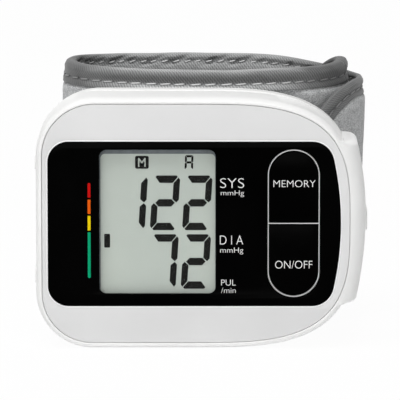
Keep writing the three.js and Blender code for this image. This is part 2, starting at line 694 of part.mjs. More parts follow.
// A conical coil spring between a contact and a cell's flat end.
function coil(x, low, high, name) {
  const steps = Math.round(8 * SPRING_TURNS);
  const rise = high - low - 2 * SPRING_WIRE_R;
  const path = Array.from({ length: steps + 1 }, (_, i) => {
    const share = i / steps;
    const angle = 2 * Math.PI * SPRING_TURNS * share;
    const r = SPRING_BASE_R + (SPRING_TIP_R - SPRING_BASE_R) * share;
    return at3(x + r * Math.cos(angle), CELL_Y + r * Math.sin(angle), low + SPRING_WIRE_R + rise * share);
  });
  const upright = at3(0, 0, 1);
  const wire = arc(0, 0, SPRING_WIRE_R, 0, 360, 5).slice(0, -1);
  const rings = path.map((p, i) => {
    const ahead = path[Math.min(i + 1, steps)].clone().sub(path[Math.max(i - 1, 0)]).normalize();
    const out = ahead.clone().cross(upright).normalize();
    const lift = out.clone().cross(ahead);
    return wire.map((w) => p.clone().addScaledVector(out, w.x).addScaledVector(lift, w.y));
  });
  const spans = path.flatMap((p, i) => path.slice(i + 5).map((q) => p.distanceTo(q)));
  console.log(`${name}: least gap between curls ${(Math.min(...spans) - 2 * SPRING_WIRE_R).toFixed(2)} mm`);
  return skin(rings, wire);
}
const springFoot = contactZ - CONTACT_T - GAP;
const cellFoot = CELL_L + CELL_NUB_L - nubZ + GAP;
add('battery_spring_1', coil(CELL_XS[0], -springFoot, -cellFoot, 'battery_spring_1'), STEEL);
add('battery_spring_2', coil(CELL_XS[1], cellFoot, springFoot, 'battery_spring_2'), STEEL);

// Battery cover: a wing whose front rolls off to the right side. Its lip stands in for the housing's rim
// beside the face plate, and a hollow plug goes into the bay.
function batteryCover() {
  const sideX = RIGHT_X + COVER_PROUD;
  const half = COVER_H / 2;
  const middle = sideX - COVER_SIDE_R;
  const reach = (z) => middle + Math.sqrt(COVER_SIDE_R ** 2 - z ** 2);
  const start = trayRight + GAP;
  const backY = FRONT_DEPTH;
  const section = (z, inset) => {
    const edge = reach(z) - inset;
    const roll = Array.from({ length: ROLL_STEPS + 1 }, (_, i) => {
      const angle = ((Math.PI / 2) * i) / ROLL_STEPS;
      const fall = COVER_ROLL_D * (1 - Math.cos(angle));
      return at3(edge - COVER_ROLL_W * (1 - Math.sin(angle)), inset + fall, z);
    });
    return [
      at3(start, inset, z),
      ...roll,
      at3(edge, backY - 1.5, z),
      at3(edge - 0.8, backY - inset / 2, z),
      at3(start, backY - inset / 2, z),
    ];
  };
  const rounding = [0, 30, 60, 90].map((degrees) => {
    const [c, s] = [Math.cos(radians(degrees)), Math.sin(radians(degrees))];
    return [half - COVER_EDGE * (1 - c), COVER_EDGE * (1 - s)];
  });
  const straight = half - COVER_EDGE;
  const between = Array.from({ length: COVER_STEPS - 1 }, (_, i) => [
    straight * ((2 * (i + 1)) / COVER_STEPS - 1),
    0,
  ]);
  const low = rounding.map(([z, inset]) => [-z, inset]);
  const rows = [...low, ...between, ...rounding.reverse()];
  const rings = rows.map(([z, inset]) => section(z, inset));
  const wing = skin(rings, rings[0].map((p) => at2(p.x, p.y)));
  const plugTop = FRONT_DEPTH - LIP_L - GAP;
  const plug = [TRAY_FRONT + GAP, plugTop, DOOR_H / 2 - GAP];
  const plugRoom = box(start - 1, sideX + 5, plug[0], plug[1], -plug[2], plug[2]);
  const housing = bodyLoft([
    [-GAP, COVER_LIP],
    [-GAP, FRONT_DEPTH + 2],
  ]);
  const plateRoom = slab(bodyOutline(PLATE_INSET), -1, COVER_LIP + 1);
  const lean = THREE.MathUtils.radToDeg(Math.asin((plug[2] - COVER_T) / COVER_SIDE_R));
  const hollow = [
    at2(start - 1, COVER_T - plug[2]),
    ...arc(middle, 0, COVER_SIDE_R - COVER_T, -lean, lean, COVER_STEPS),
    at2(start - 1, plug[2] - COVER_T),
  ];
  const room = slab(hollow, plug[0] + COVER_T, plug[1] - COVER_T);
  const gripZ = GRIP_H / 2;
  const grip = roundedRect(sideX - 1, sideX + GRIP_PROUD, -gripZ, gripZ, GRIP_PROUD, 3);
  const gripBar = slab(grip, COVER_ROLL_D + 2, backY - 2.4);
  return union(cut(wing, plateRoom, housing.subtract(plugRoom), room), gripBar);
}
add('battery_cover', batteryCover(), WHITE);

// Cuff: a strip wound clockwise seen from above, laid out by its length s, height z and offset n
const stack = LINING_T + BLADDER_T + STIFFENER_T + FABRIC_T + 3 * PLY_GAP;
const CUFF_Y = BACK_Y + SADDLE_T + 2 * GAP + stack / 2 + CUFF_NEAR;
const ease = (share) => THREE.MathUtils.smoothstep(share, 0, 1);

function cuffMiddle(angle) {
  const grow = CUFF_PITCH * ease((GROW_FROM - angle) / (GROW_FROM - GROW_TO));
  const [c, s] = [Math.cos(radians(angle)), Math.sin(radians(angle))];
  const power = s < 0 ? 1 : 2 / CUFF_FAR_POWER;
  const depth = (s < 0 ? CUFF_NEAR : CUFF_FAR) + grow;
  const bow = (value) => Math.sign(value) * Math.abs(value) ** power;
  const drop = CUFF_DROP * ease((DROP_FROM - angle) / (DROP_FROM - DROP_TO));
  return at3(CUFF_X + (CUFF_HALF_W + grow) * bow(c), CUFF_Y + depth * bow(s), -drop);
}

const walk = [];
for (let angle = CUFF_START; angle >= CUFF_END; angle -= 0.5) {
  const place = cuffMiddle(angle);
  const before = walk.at(-1);
  const step = before ? Math.hypot(place.x - before.place.x, place.y - before.place.y) : 0;
  walk.push({ angle, place, s: before ? before.s + step : 0 });
}

function along(s) {
  const next = walk.findIndex((station) => station.s > s);
  const i = Math.max(1, next < 0 ? walk.length - 1 : next);
  const [a, b] = [walk[i - 1], walk[i]];
  return a.place.clone().lerp(b.place, (s - a.s) / (b.s - a.s));
}

function sAt(angle) {
  const off = (station) => Math.abs(station.angle - angle);
  return walk.reduce((best, now) => (off(now) < off(best) ? now : best)).s;
}

function onCuff(s, z, n) {
  const place = along(s);
  const ahead = along(s + 1).sub(along(s - 1)).setZ(0).normalize();
  return at3(place.x - n * ahead.y, place.y + n * ahead.x, place.z + z);
}

const LENGTH = walk.at(-1).s;
const hingeS = sAt(CUFF_HINGE);
const peelS = sAt(CUFF_PEEL);
const cuffMid = CUFF_TOP - CUFF_WIDTH / 2;

// Half the strip's height at s, with its rounded ends.
function halfHeight(s, inset) {
  const rounding = (reach, radius) => {
    const r = radius - inset;
    const d = Math.max(0, reach - inset);
    return d < r ? r - Math.sqrt(r ** 2 - (r - d) ** 2) : 0;
  };
  const loss = Math.max(rounding(s, INNER_END_R), rounding(LENGTH - s, TIP_R));
  return CUFF_WIDTH / 2 - inset - loss;
}

function spread(from, to, fineStart, fineEnd) {
  const count = Math.round((to - from) / STATION);
  const plain = Array.from({ length: count + 1 }, (_, i) => from + ((to - from) * i) / count);
  const close = [0.3, 0.9, 1.8];
  const first = fineStart ? close.map((d) => from + d) : [];
  const last = fineEnd ? close.map((d) => to - d) : [];
  return [...plain, ...first, ...last].sort((a, b) => a - b);
}

// One ply of the strip between two lengths and two offsets.
function ply(from, to, low, high, inset) {
  const section = [at2(low, -1), at2(high, -1), at2(high, 1), at2(low, 1)];
  const rings = spread(from, to, from < INNER_END_R, to > LENGTH - TIP_R).map((s) => {
    return section.map((p) => onCuff(s, cuffMid + p.y * halfHeight(s, inset), p.x));
  });
  return skin(rings, section);
}

// The folded edge tape along a route of [s, z, inward s, inward z] rows.
function tape(route, low, high) {
  const [a, b] = [low - PLY_GAP, high + PLY_GAP];
  const [outerA, outerB] = [a - TAPE_T, b + TAPE_T];
  const section = [
    at2(0, outerA),
    at2(0, outerB),
    at2(TAPE_W, outerB),
    at2(TAPE_W, b),
    at2(TAPE_T, b),
    at2(TAPE_T, a),
    at2(TAPE_W, a),
    at2(TAPE_W, outerA),
  ];
  const rings = route.map(([s, z, ds, dz]) => {
    return section.map((p) => onCuff(s + p.x * ds, cuffMid + z + p.x * dz, p.y));
  });
  return skin(rings, section);
}

const half = CUFF_WIDTH / 2;
const edgeRun = (from, to, side) => spread(from, to).map((s) => [s, side * half, 0, -side]);

// A rounded end seen flat: from the top edge round to the bottom edge; heading is +1 towards larger s.
function endRun(end, radius, heading) {
  const turn = (side) =>
    Array.from({ length: END_STEPS + 1 }, (_, i) => {
      const angle = radians((90 * i) / END_STEPS);
      const [c, s] = [Math.cos(angle), Math.sin(angle)];
      return [end - heading * radius * (1 - s), side * (half - radius * (1 - c)), -heading * s, -side * c];
    });
  return [...turn(1), ...turn(-1).reverse()];
}

// Ply offsets from the strip's middle, lining inside and fabric outside
const lining = [-stack / 2, LINING_T - stack / 2];
const bladder = [lining[1] + PLY_GAP, lining[1] + PLY_GAP + BLADDER_T];
const stiffener = [bladder[1] + PLY_GAP, bladder[1] + PLY_GAP + STIFFENER_T];
const fabric = [stack / 2 - FABRIC_T, stack / 2];
const thinLining = [fabric[0] - PLY_GAP - LINING_T, fabric[0] - PLY_GAP];
const edge = TAPE_T + PLY_GAP;
const tapeFace = stack / 2 + PLY_GAP + TAPE_T;

const fixedEnd = hingeS - SEAM_GAP / 2;
const freeStart = hingeS + SEAM_GAP / 2;
const freeEnd = peelS - SEAM_GAP / 2;
const tipStart = peelS + SEAM_GAP / 2;
const padStart = INNER_END_R;
const padEnd = fixedEnd - TAPE_W;
const padInset = TAPE_W + PLY_GAP + GAP;
const airRoom = rod('y', NIPPLE_R + GAP, BACK_Y, CUFF_Y - CUFF_NEAR + 6, NIPPLE_X, MANIFOLD_Z, 12);

add('cuff_lining', ply(edge, fixedEnd, ...lining, edge), FLEECE);
add('cuff_bladder', ply(padStart, padEnd, ...bladder, padInset), RUBBER_GREY);
add('cuff_stiffener', cut(ply(padStart, padEnd, ...stiffener, padInset), airRoom), WHITE);
add('cuff_fabric', cut(ply(edge, fixedEnd, ...fabric, edge), airRoom), FLEECE);
const fixedRoute = [
  ...edgeRun(INNER_END_R + STATION, fixedEnd, 1).reverse(),
  ...endRun(0, INNER_END_R, -1),
  ...edgeRun(INNER_END_R + STATION, fixedEnd, -1),
];
add('cuff_binding', tape(fixedRoute, ...[lining[0], fabric[1]]), TWILL);

add('cuff_lining_free', ply(freeStart, freeEnd, ...thinLining, edge), FLEECE);
add('cuff_fabric_free', ply(freeStart, freeEnd, ...fabric, edge), FLEECE);
add('cuff_binding_free_top', tape(edgeRun(freeStart, freeEnd, 1), thinLining[0], fabric[1]), TWILL);
add('cuff_binding_free_bottom', tape(edgeRun(freeStart, freeEnd, -1), thinLining[0], fabric[1]), TWILL);

const hookInset = edge + TAPE_W + HOOK_INSET;
add('cuff_hook_patch', ply(tipStart + HOOK_INSET, LENGTH - hookInset, ...thinLining, hookInset), BLACK);
add('cuff_fabric_tip', ply(tipStart, LENGTH - edge, ...fabric, edge), FLEECE);
const tipRoute = [
  ...edgeRun(tipStart, LENGTH - TIP_R - 1, 1),
  ...endRun(LENGTH, TIP_R, 1),
  ...edgeRun(tipStart, LENGTH - TIP_R - 1, -1).reverse(),
];
add('cuff_binding_tip', tape(tipRoute, thinLining[0], fabric[1]), TWILL);

// Saddle between the flat back of the housing and the bowed near side of the cuff, and the air nipple
function nearSide(x, n) {
  const angle = -90 - THREE.MathUtils.radToDeg(Math.asin((CUFF_X - x) / CUFF_HALF_W));
  const p = onCuff(sAt(angle), 0, n);
  return at2(p.x, p.y);
}
const saddleFront = BACK_Y + GAP;
const saddleRear = Array.from({ length: SADDLE_STEPS + 1 }, (_, i) => {
  return nearSide(CUFF_X + SADDLE_HALF_W * (1 - (2 * i) / SADDLE_STEPS), fabric[1] + GAP);
});
const saddleOutline = [
  at2(saddleRear.at(-1).x + 1, saddleFront),
  at2(saddleRear[0].x - 1, saddleFront),
  ...saddleRear,
];
const nippleRoom = rod('y', NIPPLE_R + GAP, BACK_Y, CUFF_Y, NIPPLE_X, MANIFOLD_Z, 12);
add('cuff_saddle', cut(prism(saddleOutline, SADDLE_LOW, SADDLE_HIGH), nippleRoom), WHITE);

const nippleEnd = nearSide(NIPPLE_X + NIPPLE_R, stiffener[0]).y - GAP;
const flangeBack = BACK_Y - WALL - GAP;
const nipple = union(
  rod('y', NIPPLE_R, elbowY - NIPPLE_R, nippleEnd, NIPPLE_X, MANIFOLD_Z, 12),
  rod('y', NIPPLE_R + NIPPLE_FLANGE, flangeBack - 0.8, flangeBack, NIPPLE_X, MANIFOLD_Z, 12),
  nozzle('x', elbowEnd, NIPPLE_X, elbowY, MANIFOLD_Z),
);
add('air_nipple', nipple, WHITE);

// The part stands on its bottom, with its origin under the middle of its box
const bounds = new THREE.Box3().setFromObject(product);
const centre = bounds.getCenter(at3(0, 0, 0));
product.position.set(-centre.x, -centre.y, -bounds.min.z);
product.userData.axes = {
  cuffOpen: onCuff(hingeS, 0, tapeFace).add(product.position).toArray(),
  cuffPeel: onCuff(peelS, 0, tapeFace).add(product.position).toArray(),
};

export default product;
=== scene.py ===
"""Wrist blood pressure monitor: the finished housing, display, keys, battery cover and cuff.

Sizes inside the classes are in millimetres from the middle of the housing's face: x to the right,
y back from the face and z up. Every mesh is placed in metres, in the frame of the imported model.
"""

import json
import logging
import math
from bisect import bisect_right
from dataclasses import dataclass, field
from enum import Enum
from itertools import accumulate
from typing import Callable, ClassVar, Sequence

import bmesh
import bpy
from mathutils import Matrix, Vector, noise


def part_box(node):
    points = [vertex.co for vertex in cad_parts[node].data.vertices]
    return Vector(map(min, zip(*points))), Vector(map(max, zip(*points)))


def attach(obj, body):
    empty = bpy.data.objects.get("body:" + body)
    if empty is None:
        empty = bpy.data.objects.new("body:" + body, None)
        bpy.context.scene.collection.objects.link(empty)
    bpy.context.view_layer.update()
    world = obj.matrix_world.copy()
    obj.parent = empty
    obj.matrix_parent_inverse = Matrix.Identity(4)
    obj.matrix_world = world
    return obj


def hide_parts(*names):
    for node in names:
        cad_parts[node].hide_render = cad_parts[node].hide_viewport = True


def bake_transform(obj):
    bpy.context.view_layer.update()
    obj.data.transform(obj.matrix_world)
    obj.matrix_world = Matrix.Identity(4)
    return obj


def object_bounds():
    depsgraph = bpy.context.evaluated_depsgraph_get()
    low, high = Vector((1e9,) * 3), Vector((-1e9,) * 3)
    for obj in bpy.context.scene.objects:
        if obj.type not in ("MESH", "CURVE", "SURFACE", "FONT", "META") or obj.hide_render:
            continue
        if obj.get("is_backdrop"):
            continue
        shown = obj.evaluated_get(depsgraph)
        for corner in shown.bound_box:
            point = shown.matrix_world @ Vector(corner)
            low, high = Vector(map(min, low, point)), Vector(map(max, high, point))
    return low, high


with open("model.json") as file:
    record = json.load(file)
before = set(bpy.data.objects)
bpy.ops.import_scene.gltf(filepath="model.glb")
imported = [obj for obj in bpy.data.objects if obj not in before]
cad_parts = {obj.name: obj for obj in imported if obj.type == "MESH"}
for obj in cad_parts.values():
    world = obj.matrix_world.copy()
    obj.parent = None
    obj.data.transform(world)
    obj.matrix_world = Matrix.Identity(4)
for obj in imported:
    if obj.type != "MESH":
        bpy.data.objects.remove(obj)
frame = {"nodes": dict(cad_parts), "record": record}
CAD_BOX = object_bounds()

MM = 0.001
QUARTER = math.pi / 2
LOG = logging.getLogger("wrist_monitor")
Flat = tuple[float, float]
Place = tuple[float, float, float]
Box = tuple[float, float, float, float]
Colour = tuple[float, float, float, float]
Rows = tuple[Flat, ...]
Outline = list[Flat]
Loop = list[Vector]
Tube = tuple[list[Loop], list[Outline]]
Level = Callable[[float, float, int, int], float]
Piece = bpy.types.Object
Material = bpy.types.Material
Socket = bpy.types.NodeSocket
PURE_WHITE: Colour = (1.0, 1.0, 1.0, 1.0)


class Body(str, Enum):
    """Bodies of the model that a piece can ride on."""

    HOUSING = "housing"
    MEMORY = "memory_button"
    POWER = "power_button"
    COVER = "battery_cover"
    FREE = "cuff_free"
    TIP = "cuff_tip"


class Slot(str, Enum):
    """Material slots of the record."""

    WHITE = "white_plastic"
    PALE = "pale_grey_plastic"
    GLOSS_BLACK = "black_gloss"
    BLACK = "black_plastic"
    DISPLAY = "display_glass"
    CLEAR = "clear_window"
    BOARD = "board"
    STEEL = "steel"
    SILICONE = "silicone"
    RUBBER = "grey_rubber"
    CELL = "cell_wrap"
    FLEECE = "fleece"
    TAPE = "binding_tape"
    HOOK = "hook_tape"


class Ends(Enum):
    """What closes a skin that runs from ring to ring."""

    CAPPED = 1
    LOOPED = 2


class Layout(str, Enum):
    """Coordinates that a pattern follows."""

    OBJECT = "Object"
    UV = "UV"


class Join(str, Enum):
    """How two colours are combined, part by part."""

    PRODUCT = "MULTIPLY"
    DARKER = "MINIMUM"


def tone(code: str) -> Colour:
    """Turn a display colour of six hexadecimal digits into the linear one that shaders take."""
    parts = [int(code[i : i + 2], 16) / 255 for i in (0, 2, 4)]
    red, green, blue = (c / 12.92 if c <= 0.04045 else ((c + 0.055) / 1.055) ** 2.4 for c in parts)
    return (red, green, blue, 1.0)


def ease(share: float) -> float:
    """Return a smooth step from 0 to 1."""
    t = min(1.0, max(0.0, share))
    return t * t * (3 - 2 * t)


def follow(rows: Sequence[Flat], value: float) -> float:
    """Read a curve that eases from row to row and is level beyond its ends.

    Args:
        rows: Place and level of each row, with the places in order, up or down.
        value: Place to read.

    Returns:
        The level there.
    """
    for (a, u), (b, v) in zip(rows, rows[1:]):
        share = (value - a) / (b - a)
        if share <= 1:
            return u + (v - u) * ease(share)
    return rows[-1][1]


def spaced(start: float, stop: float, steps: int) -> list[float]:
    """Return evenly spaced values, both ends included."""
    return [start + (stop - start) * i / steps for i in range(steps + 1)]


def arc(x: float, z: float, radius: float, start: float, stop: float, steps: int) -> Outline:
    """Walk along a circular arc about a centre, between two angles in degrees."""
    turns = [math.radians(angle) for angle in spaced(start, stop, steps)]
    return [(x + radius * math.cos(t), z + radius * math.sin(t)) for t in turns]


def rounded(box: Box, radius: float, steps: int = 8, top: float | None = None) -> Outline:
    """Outline a rectangle with round corners.

    Args:
        box: Left, right, bottom and top.
        radius: Corner radius.
        steps: Chords in each corner.
        top: Radius of the two upper corners, where it is another one.

    Returns:
        The outline, counter-clockwise.
    """
    left, right, low, high = box
    upper = radius if top is None else top
    return (
        arc(left + radius, low + radius, radius, 180, 270, steps)
        + arc(right - radius, low + radius, radius, 270, 360, steps)
        + arc(right - upper, high - upper, upper, 0, 90, steps)
        + arc(left + upper, high - upper, upper, 90, 180, steps)
    )


@dataclass(frozen=True)
class Datum:
    """The middle of the housing's face in the model's frame."""

    x: float
    y: float
    z: float

    @classmethod
    def of_face(cls) -> "Datum":
        """Read the place of the face from the front shell's box."""
        low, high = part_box("front_shell")
        return cls((low[0] + high[0]) / 2, low[1], (low[2] + high[2]) / 2)

    def at(self, x: float, y: float, z: float) -> Vector:
        """Return a point given in millimetres from the face as a place in metres."""
        return Vector((self.x + x * MM, self.y + y * MM, self.z + z * MM))


DATUM = Datum.of_face()


class Bench:
    """Modelling steps that the pieces share, done with the editing operators."""

    CREASE = math.radians(32.0)
    MERGE = 1e-6
    DRAWING_MERGE = 1e-4

    @staticmethod
    def pick(*pieces: Piece) -> None:
        """Go to object mode and select some pieces alone.

        Args:
            *pieces: The pieces, the last one to be active.
        """
        if bpy.context.mode != "OBJECT":
            bpy.ops.object.mode_set(mode="OBJECT")
        bpy.ops.object.select_all(action="DESELECT")
        for piece in pieces:
            piece.select_set(True)
            bpy.context.view_layer.objects.active = piece

    @staticmethod
    def named(name: str) -> Piece:
        """Name the active piece and its mesh, and return it."""
        piece = bpy.context.object
        piece.name = piece.data.name = name
        return piece

    @staticmethod
    def tidy(gap: float) -> None:
        """Merge doubles and turn the faces of the mesh in edit mode outwards."""
        bpy.ops.mesh.select_all(action="SELECT")
        bpy.ops.mesh.remove_doubles(threshold=gap)
        bpy.ops.mesh.normals_make_consistent(inside=False)
        bpy.ops.object.mode_set(mode="OBJECT")

    @classmethod
    def smooth(cls, piece: Piece) -> Piece:
        """Shade a piece smooth up to the crease angle and return it."""
        cls.pick(piece)
        bpy.ops.object.shade_smooth_by_angle(angle=cls.CREASE)
        return piece

    @classmethod
    def skin(cls, name: str, rings: Sequence[Loop], ends: Ends) -> Piece:
        """Extrude a ring of edges through a row of rings.

        Args:
            name: Name of the piece.
            rings: Rings of the same number of points, in metres.
            ends: Whether the first and last rings are capped or meet.

        Returns:
            The closed piece.
        """
        cls.pick()
        bpy.ops.mesh.primitive_circle_add(vertices=len(rings[0]), radius=MM)
        piece = cls.named(name)
        for vertex, place in zip(piece.data.vertices, rings[0]):
            vertex.co = place
        bpy.ops.object.mode_set(mode="EDIT")
        bpy.ops.mesh.select_mode(type="EDGE")
        bpy.ops.mesh.select_all(action="SELECT")
        if ends is Ends.CAPPED:
            bpy.ops.mesh.edge_face_add()
        for before, after in zip(rings, rings[1:]):
            bpy.ops.mesh.extrude_edges_move()
            moves = {tuple(Vector(old)): new for old, new in zip(before, after)}
            mesh = bmesh.from_edit_mesh(piece.data)
            for vertex in mesh.verts:
                if vertex.select:
                    vertex.co = moves[tuple(vertex.co)]
            bmesh.update_edit_mesh(piece.data)
        if ends is Ends.CAPPED:
            bpy.ops.mesh.edge_face_add()
        cls.tidy(cls.MERGE)
        return cls.smooth(piece)

    @staticmethod
    def ring(outline: Outline, y: float) -> Loop:
        """Set an outline down at a depth behind the face."""
        return [DATUM.at(x, y, z) for x, z in outline]

    @classmethod
    def drum(cls, name: str, middle: Flat, rows: Sequence[Flat], sides: int = 32) -> Piece:
        """Turn a capped round piece about an axis along y, from the radius and depth of each ring."""
        rings = [cls.ring(arc(*middle, radius, 0, 360, sides)[:-1], y) for radius, y in rows]
        return cls.skin(name, rings, Ends.CAPPED)

    @classmethod
    def stud(cls, name: str, box: Box, corner: float, rows: Sequence[Flat], steps: int) -> Piece:
        """Raise a pad with round corners along x.

        Args:
            name: Name of the piece.
            box: Its bottom, top, front and back.
            corner: Radius of its corners.
            rows: Place along x of each ring, and how much smaller it is all round.
            steps: Chords in each corner.

        Returns:
            The capped piece.
        """
        low, high, front, back = box
        loops = []
        for x, inset in rows:
            small = (low + inset, high - inset, front + inset, back - inset)
            loops.append([DATUM.at(x, y, z) for z, y in rounded(small, corner - inset, steps)])
        return cls.skin(name, loops, Ends.CAPPED)

    @classmethod
    def set_down(cls, piece: Piece, y: float) -> None:
        """Stand a flat mesh drawn in millimetres upright, and apply its place.

        Args:
            piece: The flat mesh.
            y: Depth behind the face.
        """
        cls.pick(piece)
        piece.location = DATUM.at(0, y, 0)
        piece.rotation_euler = (QUARTER, 0, 0)
        piece.scale = (MM, MM, MM)
        bpy.ops.object.transform_apply(location=True, rotation=True, scale=True)

    @classmethod
    def plate(
        cls, name: str, outlines: Sequence[Outline], front: float, back: float, edge: float = 0.0
    ) -> Piece:
        """Fill flat outlines, give them thickness and round their edges.

        Args:
            name: Name of the piece.
            outlines: The outside, then the holes.
            front: Depth of the front face.
            back: Depth of the back face.
            edge: Radius of the edges.

        Returns:
            The closed plate.
        """
        drawing = bpy.data.curves.new(name, "CURVE")
        drawing.dimensions = "2D"
        drawing.fill_mode = "BOTH"
        for outline in outlines:
            line = drawing.splines.new("POLY")
            line.points.add(len(outline) - 1)
            for point, (x, z) in zip(line.points, outline):
                point.co = (x, z, 0, 1)
            line.use_cyclic_u = True
        drawing.extrude = (back - front) / 2 - edge
        drawing.bevel_depth = edge
        drawing.bevel_resolution = 2
        drawing.offset = -edge
        sheet = bpy.data.objects.new(name, drawing)
        bpy.context.collection.objects.link(sheet)
        cls.pick(sheet)
        bpy.ops.object.convert(target="MESH")
        piece = cls.named(name)
        bpy.ops.object.mode_set(mode="EDIT")
        cls.tidy(cls.DRAWING_MERGE)
        cls.set_down(piece, (front + back) / 2)
        return cls.smooth(piece)

    @classmethod
    def letters(cls, name: str, words: str, box: Box, y: float, rise: float, weight: float) -> Piece:
        """Write words that fill a box on a face.

        Args:
            name: Name of the piece.
            words: Letters to write.
            box: Left, right, bottom and top of the letters.
            y: Depth of the face that carries them.
            rise: Thickness of the ink.
            weight: Extra stroke width, in parts of the letter size.

        Returns:
            The letters as a mesh.
        """
        cls.pick()
        bpy.ops.object.text_add()
        text = bpy.context.object.data
        text.body = words
        text.extrude = 0.5
        text.offset = weight
        text.resolution_u = 6
        bpy.ops.object.convert(target="MESH")
        piece = cls.named(name)
        left, right, low, high = box
        xs = [vertex.co.x for vertex in piece.data.vertices]
        ys = [vertex.co.y for vertex in piece.data.vertices]
        x0, y0 = min(xs), min(ys)
        wide, tall = (right - left) / (max(xs) - x0), (high - low) / (max(ys) - y0)
        for vertex in piece.data.vertices:
            x, z, depth = vertex.co
            vertex.co = (left + (x - x0) * wide, low + (z - y0) * tall, depth * rise)
        cls.set_down(piece, y - rise / 2)
        return piece

    @classmethod
    def block(cls, name: str, low: Vector, high: Vector, edge: float) -> Piece:
        """Make a box with bevelled edges.

        Args:
            name: Name of the piece.
            low: Its first corner, in metres.
            high: Its last corner, in metres.
            edge: Size of the bevel, in millimetres.

        Returns:
            The closed box.
        """
        cls.pick()
        bpy.ops.mesh.primitive_cube_add(size=1, location=(low + high) / 2, scale=high - low)
        piece = cls.named(name)
        bpy.ops.object.transform_apply(location=True, rotation=True, scale=True)
        bpy.ops.object.mode_set(mode="EDIT")
        bpy.ops.mesh.select_all(action="SELECT")
        bpy.ops.mesh.bevel(offset=edge * MM, segments=3, affect="EDGES", clamp_overlap=True)
        bpy.ops.object.mode_set(mode="OBJECT")
        return cls.smooth(piece)

    @classmethod
    def cut(cls, piece: Piece, *cutters: Piece) -> Piece:
        """Take cutters out of a piece and delete them.

        Args:
            piece: The piece.
            *cutters: What is taken out of it.

        Returns:
            The piece.
        """
        for cutter in cutters:
            cls.pick(piece)
            bpy.ops.object.modifier_add(type="BOOLEAN")
            modifier = piece.modifiers[-1]
            modifier.operation = "DIFFERENCE"
            modifier.solver = "EXACT"
            modifier.object = cutter
            bpy.ops.object.modifier_apply(modifier=modifier.name)
            bpy.data.objects.remove(cutter)
        return cls.smooth(piece)

    @classmethod
    def join(cls, piece: Piece, *others: Piece) -> Piece:
        """Join other meshes into a piece and return it."""
        cls.pick(*others, piece)
        bpy.ops.object.join()
        return cls.smooth(piece)

    @staticmethod
    def weave(name: str, tubes: Sequence[Tube]) -> Piece:
        """Make a soft piece of closed tubes, in mesh code.

        Args:
            name: Name of the piece.
            tubes: Sections of each tube in metres, and the cloth coordinates of their points.

        Returns:
            The closed piece, with a UV map that follows the cloth.
        """
        mesh = bmesh.new()
        layer = mesh.loops.layers.uv.new("cloth")
        for spots, marks in tubes:
            rows = [[mesh.verts.new(spot) for spot in row] for row in spots]
            last, around = len(rows) - 1, len(rows[0])
            faces = [
                [(i, j), (i + 1, j), (i + 1, (j + 1) % around), (i, (j + 1) % around)]
                for i in range(last)
                for j in range(around)
            ]
            faces += [[(i, j) for j in range(around)] for i in (0, last)]
            for corners in faces:
                made = mesh.faces.new([rows[i][j] for i, j in corners])
                made.smooth = True
                for loop, (i, j) in zip(made.loops, corners):
                    loop[layer].uv = marks[i][j]
        bmesh.ops.recalc_face_normals(mesh, faces=mesh.faces[:])
        data = bpy.data.meshes.new(name)
        mesh.to_mesh(data)
        mesh.free()
        piece = bpy.data.objects.new(name, data)
        bpy.context.collection.objects.link(piece)
        return piece


class Nodes:
    """A node tree in the making."""

    def __init__(self, tree: bpy.types.NodeTree) -> None:
        """Take up a tree."""
        self.tree = tree

    def feed(self, socket: Socket, value: object) -> None:
        """Link a socket to another, or set its value."""
        if isinstance(value, Socket):
            self.tree.links.new(value, socket)
        else:
            socket.default_value = value

    def fill(self, node: bpy.types.Node, **inputs: object) -> None:
        """Feed sockets of a node by their names, with _ for a space."""
        for name, value in inputs.items():
            self.feed(node.inputs[name.replace("_", " ")], value)

    def node(self, kind: str, **inputs: object) -> bpy.types.Node:
        """Add a node, feed its sockets by their names and return it."""
        made = self.tree.nodes.new(kind)
        self.fill(made, **inputs)
        return made

    def reckon(self, kind: str, operation: str, *values: object) -> Socket:
        """Add a node that works out values in order.

        Args:
            kind: Type of the node.
            operation: What it does with the values.
            *values: Values or sockets.

        Returns:
            The socket of the result.
        """
        made = self.tree.nodes.new(kind)
        made.operation = operation
        for socket, value in zip(made.inputs, values):
            self.feed(socket, value)
        return made.outputs[0]

    def seen(self) -> Socket:
        """Return 1 for rays that show the background: seen directly, mirrored or through glass."""
        rays = self.node("ShaderNodeLightPath").outputs
        mirrored = self.reckon("ShaderNodeMath", "MAXIMUM", rays["Is Camera Ray"], rays["Is Glossy Ray"])
        return self.reckon("ShaderNodeMath", "MAXIMUM", mirrored, rays["Is Transmission Ray"])

    def show(self, output: str, share: Socket, first: Socket, second: Socket) -> None:
        """Mix two shaders by a share and lead them to an output of the tree."""
        mix = self.tree.nodes.new("ShaderNodeMixShader")
        for socket, value in zip(mix.inputs, (share, first, second)):
            self.feed(socket, value)
        self.fill(self.tree.nodes[output], Surface=mix.outputs[0])


